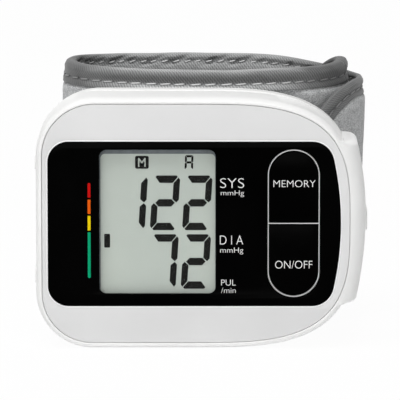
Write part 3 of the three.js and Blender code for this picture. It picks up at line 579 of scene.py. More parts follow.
class Surface(Nodes):
    """A material in the making, with its shader."""

    def __init__(self, name: str) -> None:
        """Start a material of a name."""
        self.material = bpy.data.materials.new(name)
        self.material.use_nodes = True
        super().__init__(self.material.node_tree)
        self.shader = self.tree.nodes["Principled BSDF"]

    def shade(self, **inputs: object) -> None:
        """Feed sockets of the shader by their names."""
        self.fill(self.shader, **inputs)

    def place(self, layout: Layout, stretch: Flat = (1.0, 1.0), turn: float = 0.0) -> Socket:
        """Return coordinates of a layout, stretched and turned.

        Args:
            layout: Coordinates that the pattern follows.
            stretch: Scale along the first two directions.
            turn: Turn in the plane of those, in degrees.

        Returns:
            The vector socket.
        """
        mapping = self.node(
            "ShaderNodeMapping",
            Vector=self.node("ShaderNodeTexCoord").outputs[layout.value],
            Rotation=(0, 0, math.radians(turn)),
            Scale=(*stretch, 1.0),
        )
        return mapping.outputs["Vector"]

    def drawn(self, long: float, wide: float, turn: float) -> Socket:
        """Return cloth coordinates drawn out along a direction that is turned by an angle in degrees."""
        place = self.place(Layout.UV, (long, wide), turn)
        place.node.vector_type = "TEXTURE"
        return place

    def parts(self, place: Socket) -> bpy.types.NodeOutputs:
        """Split a place into its X, Y and Z."""
        return self.node("ShaderNodeSeparateXYZ", Vector=place).outputs

    def cloud(self, place: Socket, scale: float, detail: float = 2.0) -> Socket:
        """Return a noise value on a place."""
        return self.node("ShaderNodeTexNoise", Vector=place, Scale=scale, Detail=detail).outputs["Fac"]

    def bands(self, place: Socket, scale: float, wander: float = 0.0) -> Socket:
        """Return straight waves along the first direction of a place."""
        made = self.node("ShaderNodeTexWave", Vector=place, Scale=scale, Distortion=wander, Detail=1.0)
        return made.outputs["Fac"]

    def span(self, value: Socket, low: float, high: float) -> Socket:
        """Spread a value from 0.3 to 0.7 over a range."""
        made = self.node(
            "ShaderNodeMapRange", Value=value, From_Min=0.3, From_Max=0.7, To_Min=low, To_Max=high
        )
        return made.outputs["Result"]

    def ramp(self, value: Socket, stops: Sequence[tuple[float, Colour]]) -> Socket:
        """Turn a value into a colour.

        Args:
            value: Value from 0 to 1.
            stops: Place and colour of each stop, in order.

        Returns:
            The colour socket.
        """
        made = self.node("ShaderNodeValToRGB", Fac=value)
        elements = made.color_ramp.elements
        while len(elements) < len(stops):
            elements.new(0.5)
        for element, (position, colour) in zip(elements, stops):
            element.position = position
            element.color = colour
        return made.outputs["Color"]

    def levels(self, value: Socket, rows: Sequence[Flat], reach: float = 1.0) -> Socket:
        """Turn a share of a reach into a grey, along rows of a distance and a level."""
        return self.ramp(value, [(distance / reach, (grey, grey, grey, 1.0)) for distance, grey in rows])

    def total(self, *parts: tuple[Socket, float]) -> Socket:
        """Add values up.

        Args:
            *parts: Each value with its weight.

        Returns:
            The socket of the sum.
        """
        (value, weight), *others = parts
        running = self.reckon("ShaderNodeMath", "MULTIPLY", value, weight)
        for value, weight in others:
            running = self.reckon("ShaderNodeMath", "MULTIPLY_ADD", value, weight, running)
        return running

    def pair(self, join: Join, first: Socket, second: Socket) -> Socket:
        """Combine two colours part by part."""
        return self.reckon("ShaderNodeVectorMath", join.value, first, second)

    def relief(self, height: Socket, strength: float, depth: float) -> None:
        """Raise the surface by a height, depth in millimetres."""
        made = self.node("ShaderNodeBump", Height=height, Strength=strength, Distance=depth * MM)
        self.shade(Normal=made.outputs["Normal"])


@dataclass(frozen=True)
class Coat:
    """A moulded, drawn, printed or clear finish: uneven colour and gloss over a fine grain.

    Colour, gloss and grain each follow a noise of a scale and a detail. The relief has a strength and a
    depth.
    """

    name: str
    dark: str
    light: str
    gloss: Flat
    specular: float
    relief: Flat
    patch: Flat = (45.0, 3.0)
    sheen: Flat = (260.0, 2.0)
    grain: Flat = (2600.0, 1.0)
    drawn: float = 1.0
    metal: float = 0.0
    cover: float = 1.0

    @classmethod
    def ink(cls, name: str, dark: str, light: str) -> "Coat":
        """Describe a printed or shown mark with a slightly uneven film."""
        film = (900.0, 2.0)
        return cls(name, dark, light, (0.4, 0.5), 0.05, (0.1, 0.01), film, film, film)

    @classmethod
    def drawn_metal(cls, name: str, dark: str, light: str, gloss: Flat) -> "Coat":
        """Describe rolled or drawn metal with marks along z."""
        lines = (420.0, 3.0)
        return cls(name, dark, light, gloss, 0.5, (0.2, 0.02), lines, lines, lines, 9.0, 1.0)

    def make(self) -> Material:
        """Build the material.

        Returns:
            The material.
        """
        surface = Surface(self.name)
        place = surface.place(Layout.OBJECT, (self.drawn, self.drawn))
        patch = surface.cloud(place, *self.patch)
        surface.shade(
            Base_Color=surface.ramp(patch, [(0.3, tone(self.dark)), (0.7, tone(self.light))]),
            Roughness=surface.span(surface.cloud(place, *self.sheen), *self.gloss),
            Specular_IOR_Level=self.specular,
            Metallic=self.metal,
            Alpha=self.cover,
        )
        strength, depth = self.relief
        if strength:
            surface.relief(surface.cloud(place, *self.grain), strength, depth)
        return surface.material


@dataclass(frozen=True)
class CircuitBoard:
    """Green laminate with paler conductor lines under the lacquer."""

    name: str

    def make(self) -> Material:
        """Build the material.

        Returns:
            The material.
        """
        surface = Surface(self.name)
        place = surface.place(Layout.OBJECT)
        lines = surface.node(
            "ShaderNodeTexBrick",
            Vector=place,
            Scale=300.0,
            Mortar_Size=0.04,
            Color1=tone("12512F"),
            Color2=tone("185C37"),
            Mortar=tone("3F8A55"),
        )
        surface.shade(
            Base_Color=lines.outputs["Color"],
            Roughness=surface.span(surface.cloud(place, 200.0), 0.3, 0.45),
        )
        surface.relief(lines.outputs["Fac"], 0.2, 0.03)
        return surface.material


@dataclass(frozen=True)
class Wrap:
    """Printed sleeve of a battery cell, plain bands along its length, between two heights in metres."""

    name: str
    foot: float = 0.010
    head: float = 0.058

    def make(self) -> Material:
        """Build the material.

        Returns:
            The material.
        """
        surface = Surface(self.name)
        place = surface.place(Layout.OBJECT)
        height = surface.parts(place)["Z"]
        share = surface.node("ShaderNodeMapRange", Value=height, From_Min=self.foot, From_Max=self.head)
        stops = [(0.0, tone("23262B")), (0.62, tone("2B2F35")), (0.66, tone("B8862E")), (1.0, tone("C99A42"))]
        surface.shade(
            Base_Color=surface.ramp(share.outputs["Result"], stops),
            Roughness=surface.span(surface.cloud(place, 300.0), 0.25, 0.4),
            Metallic=0.3,
        )
        surface.relief(surface.cloud(place, 1400.0), 0.15, 0.02)
        return surface.material


@dataclass(frozen=True)
class Cloth:
    """The name and the three tones of a cloth or a thread."""

    name: str
    deep: str
    middle: str
    tip: str

    def stops(self, *places: float) -> list[tuple[float, Colour]]:
        """Return the stops of a ramp from the deep tone to the one of the tips."""
        return list(zip(places, (tone(code) for code in (self.deep, self.middle, self.tip))))


@dataclass(frozen=True)
class Fleece(Cloth):
    """Brushed loop fabric: a mottled grey pile with a soft sheen."""

    pile: float = 0.7

    def make(self) -> Material:
        """Build the material.

        Returns:
            The material.
        """
        surface = Surface(self.name)
        tufts = surface.cloud(surface.place(Layout.UV), 7.0, 4.0)
        curls = surface.cloud(surface.place(Layout.UV, (1.0, 1.5), 25.0), 22.0, 1.5)
        mottle = surface.total((tufts, 0.35), (curls, 0.65))
        surface.shade(
            Base_Color=surface.ramp(mottle, self.stops(0.36, 0.5, 0.62)),
            Roughness=surface.span(curls, 0.85, 1.0),
            Specular_IOR_Level=0.15,
            Sheen_Weight=0.25,
            Sheen_Roughness=0.5,
        )
        surface.relief(mottle, self.pile, 0.5)
        return surface.material


@dataclass(frozen=True)
class Twill(Cloth):
    """Woven edge tape: diagonal ribs crossed by the threads, with painted highlight on its crest and hem and
    painted shade in its groove and round its bends.

    The rows give a distance in centimetres and a grey: painted light across the tape and painted shade along
    it, and where across it the painted shade of the slack crease lines ends.
    """

    across: Rows
    along: Rows
    slack: Rows
    # Painted shade of the crease lines: the grey below the noise's edge, and none above it.
    crease: Rows = ((0.4, 0.42), (0.52, 1.0))
    width: float = 1.5
    length: float = 25.0

    def make(self) -> Material:
        """Build the material.

        Returns:
            The material.
        """
        surface = Surface(self.name)
        ribs = surface.bands(surface.place(Layout.UV, turn=37.0), 4.5, 0.6)
        threads = surface.bands(surface.place(Layout.UV), 5.2, 0.6)
        patches = surface.cloud(surface.place(Layout.UV, (0.5, 2.0)), 3.0, 4.0)
        cloth = surface.total((ribs, 0.45), (threads, 0.2), (patches, 0.5))
        weave = surface.ramp(cloth, self.stops(0.2, 0.58, 0.95))
        spot = surface.parts(surface.place(Layout.UV, (1 / self.length, 1 / self.width)))
        # Painted light across the tape: highlight on the crest and hem, shade in the groove.
        fold = surface.levels(spot["Y"], self.across, self.width)
        # Painted shade along the tape, darker round the bends.
        bend = surface.levels(spot["X"], self.along, self.length)
        painted_fold_and_bend_shade = surface.pair(Join.DARKER, fold, bend)
        # Painted crease shadows: a stretched noise darkens the tape in slanted streaks inside that band.
        crease_shade_noise = surface.cloud(surface.drawn(0.75, 0.17, -24.0), 1.0, 1.0)
        flat = surface.levels(spot["Y"], self.slack, self.width)
        painted_crease_shade = surface.levels(surface.total((crease_shade_noise, 1.0), (flat, 0.5)), self.crease)
        shade = surface.pair(Join.PRODUCT, painted_fold_and_bend_shade, painted_crease_shade)
        surface.shade(
            Base_Color=surface.pair(Join.PRODUCT, weave, shade),
            Roughness=surface.span(ribs, 0.55, 0.75),
            Specular_IOR_Level=0.35,
            Sheen_Weight=0.15,
            Sheen_Roughness=0.4,
        )
        surface.relief(cloth, 0.35, 0.2)
        return surface.material


@dataclass(frozen=True)
class Thread(Cloth):
    """Twisted sewing thread: pale along the middle of each stitch, with painted shade at its ends where it
    goes into the cloth and along the tape's bends.
    """

    along: Rows
    length: float = 25.0

    def make(self) -> Material:
        """Build the material.

        Returns:
            The material.
        """
        surface = Surface(self.name)
        twist = surface.bands(surface.place(Layout.UV, (1.0, 0.5), 30.0), 1.6)
        spot = surface.parts(surface.place(Layout.UV, (1.0, 1 / self.length)))
        # Painted shade at both ends of each stitch, where it dips into the cloth.
        stops = self.stops(0.05, 0.13, 0.25) + self.stops(0.91, 0.84, 0.72)[::-1]
        strand_with_end_shade = surface.ramp(spot["X"], stops)
        # Painted shade along the thread, darker round the tape's bends.
        bend = surface.levels(spot["Y"], self.along, self.length)
        surface.shade(
            Base_Color=surface.pair(Join.PRODUCT, strand_with_end_shade, bend),
            Roughness=surface.span(twist, 0.5, 0.65),
            Sheen_Weight=0.15,
        )
        surface.relief(twist, 0.4, 0.1)
        return surface.material


# Painted shade along the cuff, by length in centimetres: tape and thread darker round the two bends and the
# tip, where they face sideways, away from the lamps.
PAINTED_BEND_SHADE: Rows = (
    (0.0, 0.2), (2.8, 0.2), (3.6, 0.31), (4.2, 0.7), (5.0, 1.0), (8.4, 1.0), (9.4, 0.56), (10.2, 0.28),
    (11.6, 0.25), (12.4, 0.45), (13.4, 0.8), (14.6, 1.0), (17.6, 1.0), (18.8, 0.6), (19.6, 0.33),
    (25.0, 0.33),
)

# Painted highlight and shade round the tape's section, by distance round it in centimetres: pale on the crest
# and hem, dark over the lower half of the roll and the groove.
PAINTED_FOLD_LIGHT: Rows = (
    (0.0, 1.18), (0.08, 1.3), (0.14, 1.2), (0.19, 0.77), (0.24, 0.38), (0.3, 0.3), (0.4, 0.31), (0.48, 0.36),
    (0.54, 0.52), (0.6, 0.76), (0.66, 0.86), (0.75, 0.88), (0.96, 0.87), (1.03, 0.79), (1.08, 0.77),
    (1.13, 0.8), (1.18, 0.85), (1.25, 0.92), (1.5, 0.85),
)

# Where across the tape, in centimetres, the painted crease shadows may fall: only in a band on its inner
# face.
CREASE_SHADE_BAND: Rows = ((0.9, 1.0), (1.0, 0.0), (1.1, 0.0), (1.2, 1.0))


@dataclass(frozen=True)
class Carry:
    """How a piece moves: with a body; a piece that spans from it to the next one, with two depths behind the
    face, is only fixed in place and not bent.
    """

    body: Body
    next_body: Body | None = None
    depths: Flat = (0.0, 0.0)

    def take(self, piece: Piece) -> None:
        """Let a piece move with its body, or fix a piece that spans two bodies in place."""
        if self.next_body is None:
            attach(piece, self.body.value)
        else:
            ends = [(DATUM.x, DATUM.y + depth * MM, DATUM.z) for depth in self.depths]
            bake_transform(piece)


class Finishes:
    """Every finish of the monitor, built once and shared by the pieces of a slot."""

    recipes = {
        Slot.WHITE: Coat("white_moulding", "EDEDEC", "F4F4F3", (0.3, 0.4), 0.4, (0.12, 0.03)),
        Slot.PALE: Coat("pale_grey_moulding", "DCDCDC", "E1E1E1", (0.5, 0.62), 0.25, (0.3, 0.03)),
        Slot.GLOSS_BLACK: Coat("black_gloss", "010101", "030303", (0.12, 0.2), 0.006, (0.03, 0.03)),
        Slot.BLACK: Coat("black_moulding", "161616", "202020", (0.55, 0.7), 0.3, (0.4, 0.03)),
        Slot.DISPLAY: Coat(
            "display_glass", "B7BFB8", "C0C8BF", (0.42, 0.55), 0.25, (0.12, 0.01), (28.0, 2.0), (5200.0, 0.0),
            (5200.0, 0.0),
        ),
        Slot.CLEAR: Coat(
            "clear_window", "DCE6EA", "F2F7F8", (0.06, 0.12), 0.1, (0.0, 0.0), (60.0, 2.0), (60.0, 2.0),
            cover=0.004,
        ),
        Slot.BOARD: CircuitBoard("circuit_board"),
        Slot.STEEL: Coat.drawn_metal("drawn_steel", "9A9C9E", "C9CBCC", (0.25, 0.4)),
        Slot.SILICONE: Coat("silicone_hose", "C9CCCB", "DADCDB", (0.45, 0.6), 0.4, (0.2, 0.03)),
        Slot.RUBBER: Coat("grey_rubber", "5A5C5E", "6B6D6F", (0.65, 0.8), 0.3, (0.4, 0.03)),
        Slot.CELL: Wrap("cell_sleeve"),
        Slot.FLEECE: Fleece("grey_fleece", "8C8D8E", "B8B9BA", "D6D7D7"),
        Slot.TAPE: Twill("edge_twill", "858686", "B2B3B3", "D6D7D7", PAINTED_FOLD_LIGHT, PAINTED_BEND_SHADE, CREASE_SHADE_BAND),
        Slot.HOOK: Fleece("hook_field", "141415", "242426", "3A3A3C", 1.0),
    }

    bar_tones = {
        "red": ("BC0804", "C40C08"),
        "orange": ("E25A02", "E86008"),
        "yellow": ("E6C800", "EED004"),
        "green": ("009A6A", "04A070"),
    }

    def __init__(self) -> None:
        """Build the material of every slot and the ones of the marks."""
        self.slots = {slot: recipe.make() for slot, recipe in self.recipes.items()}
        self.thread = Thread("sewing_thread", "3A3B3D", "B5B6B7", "E6E6E6", PAINTED_BEND_SHADE).make()
        self.rim_line = Coat("key_rim", "D4D4D4", "E4E4E4", (0.35, 0.45), 0.4, (0.05, 0.03)).make()
        # Paler than the plate: painted highlight of the light line round the panel; the bead's own edges also
        # catch the lamps.
        self.bead = Coat("painted_highlight_bead", "F2F2F2", "F8F8F8", (0.3, 0.4), 0.3, (0.05, 0.03)).make()
        self.segment = Coat.ink("display_segment", "0C0C08", "121210").make()
        # Dark grey of the painted shadow that the window's top edge casts on the display.
        self.strip = Coat.ink("display_strip", "676D70", "72787B").make()
        self.white_ink = Coat.ink("white_ink", "E4E4E4", "F2F2F2").make()
        self.cleared = Coat.ink("display_cleared", "B7BFB8", "C0C8BF").make()
        self.bar = {name: Coat.ink(f"{name}_ink", *tones).make() for name, tones in self.bar_tones.items()}

    def settle(
        self,
        piece: Piece,
        slot: Slot,
        *nodes: str,
        carry: Carry = Carry(Body.HOUSING),
        material: Material | None = None,
    ) -> None:
        """Dress a finished piece, and let it move with a body and stand for nodes of the model.

        Args:
            piece: The finished piece.
            slot: Slot of the record.
            *nodes: Nodes that it replaces.
            carry: How it moves.
            material: Finish in place of the slot's own.
        """
        piece.data.materials.clear()
        piece.data.materials.append(material or self.slots[slot])
        carry.take(piece)
        if nodes:
            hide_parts(*nodes)
        LOG.info("piece %s on %s, %d faces", piece.name, carry.body.value, len(piece.data.polygons))

    def carry_over(self) -> None:
        """Dress every node of the model that still shows."""
        slots = {row["node"]: Slot(row["material_slot"]) for row in frame["record"]["subparts"]}
        for name, node in frame["nodes"].items():
            if not node.hide_render:
                node.data.materials.clear()
                node.data.materials.append(self.slots[slots[name]])
                LOG.info("node %s in %s", name, slots[name].value)


@dataclass(frozen=True)
class HousingShape:
    """Outline of the housing: round corners on the left and a full round end on the right."""

    half_width: float = 43.35
    half_height: float = 34.4
    low_radius: float = 15.25
    high_radius: float = 16.0
    back_radius: float = 17.2
    fullness: float = 3.25
    drop: float = 0.27
    corner_steps: int = 20
    end_steps: int = 30
    side_steps: int = 8

    def outline(self, inset: float, drop: float = 0.0, radius: float = 0.0) -> Outline:
        """Outline the housing inside its widest line.

        Args:
            inset: Distance inside the widest line.
            drop: How much lower the top is.
            radius: Radius of the upper left corner in place of its own.

        Returns:
            The outline, counter-clockwise from the left.
        """
        w, h, steps = self.half_width - inset, self.half_height - inset, self.side_steps
        top, low, high = h - drop, self.low_radius - inset, (radius or self.high_radius) - inset
        turns, power = spaced(0.0, QUARTER, self.end_steps), 2 / self.fullness
        end = [(w * math.sin(t) ** power, -h * math.cos(t) ** power) for t in turns]
        below = arc(low - w, low - h, low, 180, 270, self.corner_steps)
        below += [(x, -h) for x in spaced(low - w, 0.0, steps)[1:-1]]
        above = [(x, -z * top / h) for x, z in reversed(end[:-1])]
        above += [(x, top) for x in spaced(0.0, high - w, steps)[1:-1]]
        above += arc(high - w, top - high, high, 90, 180, self.corner_steps)
        left = [(-w, z) for z in spaced(top - high, low - h, steps)[1:-1]]
        return below + end + above + left

    def front(self, inset: float) -> Outline:
        """Outline the part of the housing in front of the step on its top."""
        return self.outline(inset, self.drop)

    def side(self, z: float, gap: float) -> float:
        """Return where the right end is at a height, with a gap outside it."""
        w, h, n = self.half_width + gap, self.half_height + gap, self.fullness
        return w * (1 - (abs(z) / h) ** n) ** (1 / n)


@dataclass
class Housing:
    """The white shells: rolled rim, seat for the face plate, screw bosses and snap tabs."""

    finishes: Finishes
    shape: HousingShape = field(default_factory=HousingShape)
    rim_lip: float = 1.33
    rim_fullness: float = 1.2
    rim_depth: float = 3.5
    rim_steps: int = 10
    nose: Flat = (0.08, 0.06)
    nose_depth: float = 0.25
    step_back: float = 16.6
    step_round: Flat = (0.06, 0.04)
    step_foot: float = 0.2
    back_edge: Rows = ((0.0, 0.5), (0.1, 0.15), (0.35, 0.0))
    wall: float = 1.8
    depth: float = 20.5
    seat_inset: float = 1.63
    seat: float = 1.9
    ledge_inset: float = 3.4
    ledge: float = 3.2
    gusset: float = 4.85
    split: float = 20.7
    back: float = 25.2
    back_rows: Rows = (
        (10.0, 1.0), (5.6, 1.0), (5.2, 1.0), (4.2, 0.955), (3.2, 0.89), (2.3, 0.79), (1.5, 0.67), (0.8, 0.51),
        (0.35, 0.36), (0.08, 0.2), (0.0, 0.1), (0.25, 0.0),
    )
    tongue_gap: float = 0.3
    tongue: float = 1.0
    tongue_reach: float = 1.5
    bosses: Rows = ((-20.35, 30.0), (12.05, 30.0), (-20.35, -30.0), (12.05, -30.0))
    boss_radius: float = 2.5
    boss_room: float = 2.8
    boss_room_front: float = 3.0
    boss_room_back: float = 0.1
    screw_hole: float = 1.4
    screw_depth: float = 11.0
    head_seat: float = 2.3
    head_step: float = 2.1
    door_left: float = 20.0
    door_right: float = 60.0
    door_front: float = 8.0
    door_half: float = 22.45
    door_edge: float = 0.5
    lip_high: float = 22.12
    lip_low: float = 22.37
    lip_front: float = -3.0
    lip_back: float = 2.3
    lip_inset: float = 1.82
    lip_edge: float = 0.02
    nipple: Flat = (-10.0, 17.0)
    nipple_hole: float = 2.3
    past: float = 2.0
    tab_z: float = 15.6
    tab_half: float = 2.2
    tab_proud: float = 0.5
    tab_front: float = 9.2
    tab_back: float = 22.3
    tab_corner: float = 0.9
    tab_root: float = 0.3
    tab_edge: Rows = ((0.0, 0.0), (0.08, 0.08), (0.25, 0.25))
    foot_edge: float = 0.2

    def rings(self, rows: Sequence[Flat], drop: float = 0.0, radius: float = 0.0) -> list[Loop]:
        """Turn rows of inset and depth into rings of the housing's outline."""
        return [Bench.ring(self.shape.outline(inset, drop, radius), y) for inset, y in rows]

    def front(self) -> Piece:
        """Model the front shell with its rim, seat, bosses and the opening of the battery bay.

        Returns:
            The shell.
        """
        rim = [
            (self.rim_lip * (1 - math.sin(t)) ** self.rim_fullness, self.rim_depth * (1 - math.cos(t)))
            for t in spaced(0.0, QUARTER, self.rim_steps)
        ]
        drop, corner, step, deep = self.shape.drop, self.shape.back_radius, self.step_back, self.depth
        before, soft = self.step_round
        wide = [(0.0, step + self.step_foot)] + [(inset, deep - short) for inset, short in self.back_edge]
        wide += [(self.wall, deep), (self.wall, self.gusset)]
        seat = [(self.ledge_inset, self.ledge), (self.ledge_inset, self.seat), (self.seat_inset, self.seat)]
        seat += [(self.seat_inset, self.nose_depth), (self.seat_inset - self.nose[0], self.nose[1]), rim[0]]
        rings = self.rings(rim + [(0.0, step - before)], drop) + self.rings([(0.0, step)], drop - soft)
        rings += self.rings([(0.0, step + soft)], before, corner) + self.rings(wide, 0.0, corner)
        piece = Bench.skin("housing_front", rings + self.rings(seat, drop), Ends.LOOPED)
        r, hole = self.boss_radius, self.screw_hole
        post = [(r, self.ledge), (r, deep), (hole, deep), (hole, deep - self.screw_depth)]
        posts = [Bench.drum(f"boss_{number}", spot, post) for number, spot in enumerate(self.bosses)]
        low = DATUM.at(self.door_left, self.door_front, -self.door_half)
        high = DATUM.at(self.door_right, deep + 5, self.door_half)
        Bench.cut(piece, Bench.block("door", low, high, self.door_edge), self.lip_room())
        return Bench.join(piece, *posts)

    def lip_room(self) -> Piece:
        """Model the length of rim that the lip of the battery cover takes over.

        Returns:
            The piece to cut away.
        """
        low = DATUM.at(self.door_left, self.lip_front, -self.lip_low)
        high = DATUM.at(self.door_right, self.lip_back, self.lip_high)
        room = Bench.block("lip_room", low, high, self.lip_edge)
        inner = [self.shape.front(self.lip_inset)]
        return Bench.cut(room, Bench.plate("lip_core", inner, 2 * self.lip_front, self.lip_back + 3.0))

    def rear(self) -> Piece:
        """Model the rear shell with its tongue, screw seats, air hole and the two snap tabs.

        Returns:
            The shell.
        """
        high, tongue = self.back - self.split, self.wall + self.tongue_gap
        rows = [(inset, self.split + share * high) for inset, share in self.back_rows]
        rows += [(tongue, self.split), (tongue, self.depth - self.tongue_reach)]
        tongue += self.tongue
        rows += [(tongue, self.depth - self.tongue_reach), (tongue, self.split + 0.2 * high)]
        rows += [(2 * self.wall, self.back - 1.5 * self.wall), (3.5 * self.wall, self.back - self.wall)]
        piece = Bench.skin("housing_rear", self.rings(rows, 0.0, self.shape.back_radius), Ends.CAPPED)
        room, hole, head, end = self.boss_room, self.screw_hole, self.head_seat, self.back + self.past
        floor, seat = self.split + self.boss_room_back, self.split + self.head_step
        well = [(room, self.depth - self.boss_room_front), (room, floor), (hole, floor), (hole, seat)]
        well += [(head, seat), (head, end)]
        cutters = [Bench.drum(f"screw_seat_{i}", spot, well) for i, spot in enumerate(self.bosses)]
        air = [(self.nipple_hole, self.split), (self.nipple_hole, end)]
        Bench.cut(piece, *cutters, Bench.drum("air_hole", self.nipple, air))
        return Bench.join(piece, *self.tab(-1), *self.tab(1))

    def tab(self, side: int) -> list[Piece]:
        """Model a snap tab and its foot.

        Args:
            side: 1 for the upper tab, -1 for the lower one.

        Returns:
            The tab and the foot.
        """
        low, high = side * self.tab_z - self.tab_half, side * self.tab_z + self.tab_half
        wall = -self.shape.half_width
        left = wall - self.tab_proud
        box = (low, high, self.tab_front, self.tab_back)
        rows = [(wall + self.tab_root, 0.0)] + [(left + rise, inset) for rise, inset in self.tab_edge]
        tab = Bench.stud(f"tab_{side}", box, self.tab_corner, rows, 5)
        foot = DATUM.at(left + 0.1, self.split + 0.25, low), DATUM.at(wall + 1, self.tab_back, high)
        return [tab, Bench.block(f"tab_foot_{side}", *foot, self.foot_edge)]

    def build(self) -> None:
        """Model, dress and place both shells."""
        self.finishes.settle(self.front(), Slot.WHITE, "front_shell")
        self.finishes.settle(self.rear(), Slot.WHITE, "rear_shell")


@dataclass
class Face:
    """The grey face plate, and the black panel with its printed marks.

    The places of the marks are columns and rows of the photograph, which its middle and the size of its
    pixels turn into places on the face.
    """

    finishes: Finishes
    shape: HousingShape = field(default_factory=HousingShape)
    plate_inset: float = 1.74
    plate_front: float = 0.08
    plate_back: float = 1.6
    plate_edge: float = 0.12
    recess: float = 0.95
    floor_grow: float = 0.6
    floor_edge: float = 0.05
    floor_window: float = 1.2
    panel_front: float = 0.1
    panel_back: float = 0.85
    panel_left: float = -40.05
    panel_right: float = 39.15
    panel_half: float = 22.46
    panel_z: float = -0.2
    bead: float = 0.38
    bead_gap: float = 0.05
    bead_lap: float = 0.02
    bead_edge: float = 0.1
    left_radius: float = 5.6
    side_radius: float = 82.0
    right_radius: float = 6.0
    window: Box = (-26.15, 5.33, -19.25, 20.05)
    window_radius: float = 1.95
    key_x: float = 26.4
    key_half_w: float = 6.98
    key_half_h: float = 20.1
    key_gap: float = 0.2
    ink: float = 0.03
    bold: float = -0.015
    light: float = -0.011
    photo_middle: Flat = (196.0, 223.5)
    pixel: Flat = (0.27, 0.273)
    sink: float = 0.148
    bar_columns: Flat = (87.55, 90.45)
    bar_corner: float = 0.12

    bar_rows: ClassVar[dict[str, Flat]] = {
        "red": (183.0, 197.7),
        "orange": (199.7, 214.0),
        "yellow": (215.8, 230.5),
        "green": (232.4, 278.2),
    }

    def panel_outline(self, grow: float) -> Outline:
        """Outline the black panel.

        Args:
            grow: How much larger it is.

        Returns:
            The outline, counter-clockwise.
        """
        h, left = self.panel_half + grow, self.panel_left - grow
        side, corner, near = self.side_radius + grow, self.right_radius + grow, self.left_radius + grow
        middle = self.panel_right - self.side_radius
        corner_x = middle + math.sqrt((side - corner) ** 2 - (h - corner) ** 2)
        tilt = math.degrees(math.atan2(h - corner, corner_x - middle))
        shape = (
            arc(left + near, near - h, near, 180, 270, 12)
            + arc(corner_x, corner - h, corner, -90, -tilt, 10)
            + arc(middle, 0, side, -tilt, tilt, 28)[1:-1]
            + arc(corner_x, h - corner, corner, tilt, 90, 10)
            + arc(left + near, h - near, near, 90, 180, 12)
        )
        return [(x, z + self.panel_z) for x, z in shape]

    def window_outline(self, grow: float) -> Outline:
        """Outline the display window, larger by grow."""
        left, right, low, high = self.window
        return rounded((left - grow, right + grow, low - grow, high + grow), self.window_radius + grow)

    def keys_outline(self, grow: float) -> Outline:
        """Outline the long round-ended field of the keys, larger by grow."""
        r, end = self.key_half_w + grow, self.key_half_h - self.key_half_w
        return arc(self.key_x, -end, r, 180, 360, 24) + arc(self.key_x, end, r, 0, 180, 24)

    def plate(self) -> Piece:
        """Model the face plate: a flat border, and a floor behind the panel.

        Returns:
            The plate.
        """
        lines = [self.shape.front(self.plate_inset), self.panel_outline(self.bead)]
        border = Bench.plate("face_border", lines, self.plate_front, self.plate_back, self.plate_edge)
        openings = [self.window_outline(self.floor_window), self.keys_outline(self.key_gap)]
        lines, back = [self.panel_outline(self.floor_grow), *openings], self.plate_back - self.floor_edge
        Bench.join(border, Bench.plate("face_floor", lines, self.recess, back, self.floor_edge))
        return Bench.named("face_plate_finished")

    def panel(self) -> Piece:
        """Model the black panel with its two openings."""
        outlines = [self.panel_outline(0.0), self.window_outline(0.0), self.keys_outline(self.key_gap)]
        return Bench.plate("panel_finished", outlines, self.panel_front, self.panel_back, self.plate_edge)

    def panel_bead(self) -> Piece:
        """Model the fine raised bead that runs round the panel, whose pale finish paints the highlight on its
        edge.
        """
        outlines = [self.panel_outline(self.bead + self.bead_lap), self.panel_outline(self.bead_gap)]
        return Bench.plate("panel_bead", outlines, 0.0, self.plate_back - self.bead_edge, self.bead_edge)

    def across(self, px: float) -> float:
        """Return the place across the face of a column of the photograph."""
        return (px - self.photo_middle[0]) * self.pixel[0]

    def up(self, py: float, depth: float = 0.0) -> float:
        """Return the height on the face of a row of the photograph, at a depth behind it."""
        return (self.photo_middle[1] - py) * self.pixel[1] - self.sink * depth

    def box(self, columns: Flat, rows: Flat, depth: float = 0.0) -> Box:
        """Return the left, right, bottom and top of a field of the photograph, at a depth."""
        left, right = (self.across(px) for px in columns)
        high, low = (self.up(py, depth) for py in rows)
        return (left, right, low, high)

    def label(self, name: str, words: str, box: Box, weight: float, body: Body = Body.HOUSING) -> None:
        """Print words that fill a box on the panel, or on the key of a body."""
        piece = Bench.letters(name, words, box, self.panel_front, self.ink, weight)
        self.finishes.settle(piece, Slot.PALE, carry=Carry(body), material=self.finishes.white_ink)

    def labels(self) -> None:
        """Print the names and units of the readings, and the colour bar."""
        words = [
            ("systolic", "SYS", (220.1, 244.1), (178.3, 188.0), self.bold),
            ("systolic_unit", "mmHg", (220.8, 244.0), (190.4, 197.0), self.light),
            ("diastolic", "D I A", (219.9, 243.2), (235.6, 244.5), self.bold),
            ("diastolic_unit", "mmHg", (220.3, 243.3), (247.6, 254.5), self.light),
            ("pulse", "PUL", (221.2, 235.8), (279.9, 285.8), self.light),
            ("pulse_unit", "/min", (221.2, 235.8), (287.9, 293.2), self.light),
        ]
        for name, letters, columns, rows, weight in words:
            self.label(f"mark_{name}", letters, self.box(columns, rows), weight)
        for colour, rows in self.bar_rows.items():
            box = self.box(self.bar_columns, rows)
            end = (box[1] - box[0]) / 2 - 0.01
            low = end if colour == "green" else self.bar_corner
            high = end if colour == "red" else self.bar_corner
            shape = rounded(box, low, top=high)
            piece = Bench.plate(f"bar_{colour}", [shape], self.panel_front - self.ink, self.panel_front)
            self.finishes.settle(piece, Slot.PALE, material=self.finishes.bar[colour])

    def build(self) -> None:
        """Model, dress and place the plate, the panel and the printed marks."""
        self.finishes.settle(self.plate(), Slot.PALE, "face_plate")
        self.finishes.settle(self.panel(), Slot.GLOSS_BLACK, "display_panel")
        self.finishes.settle(self.panel_bead(), Slot.PALE, material=self.finishes.bead)
        self.labels()


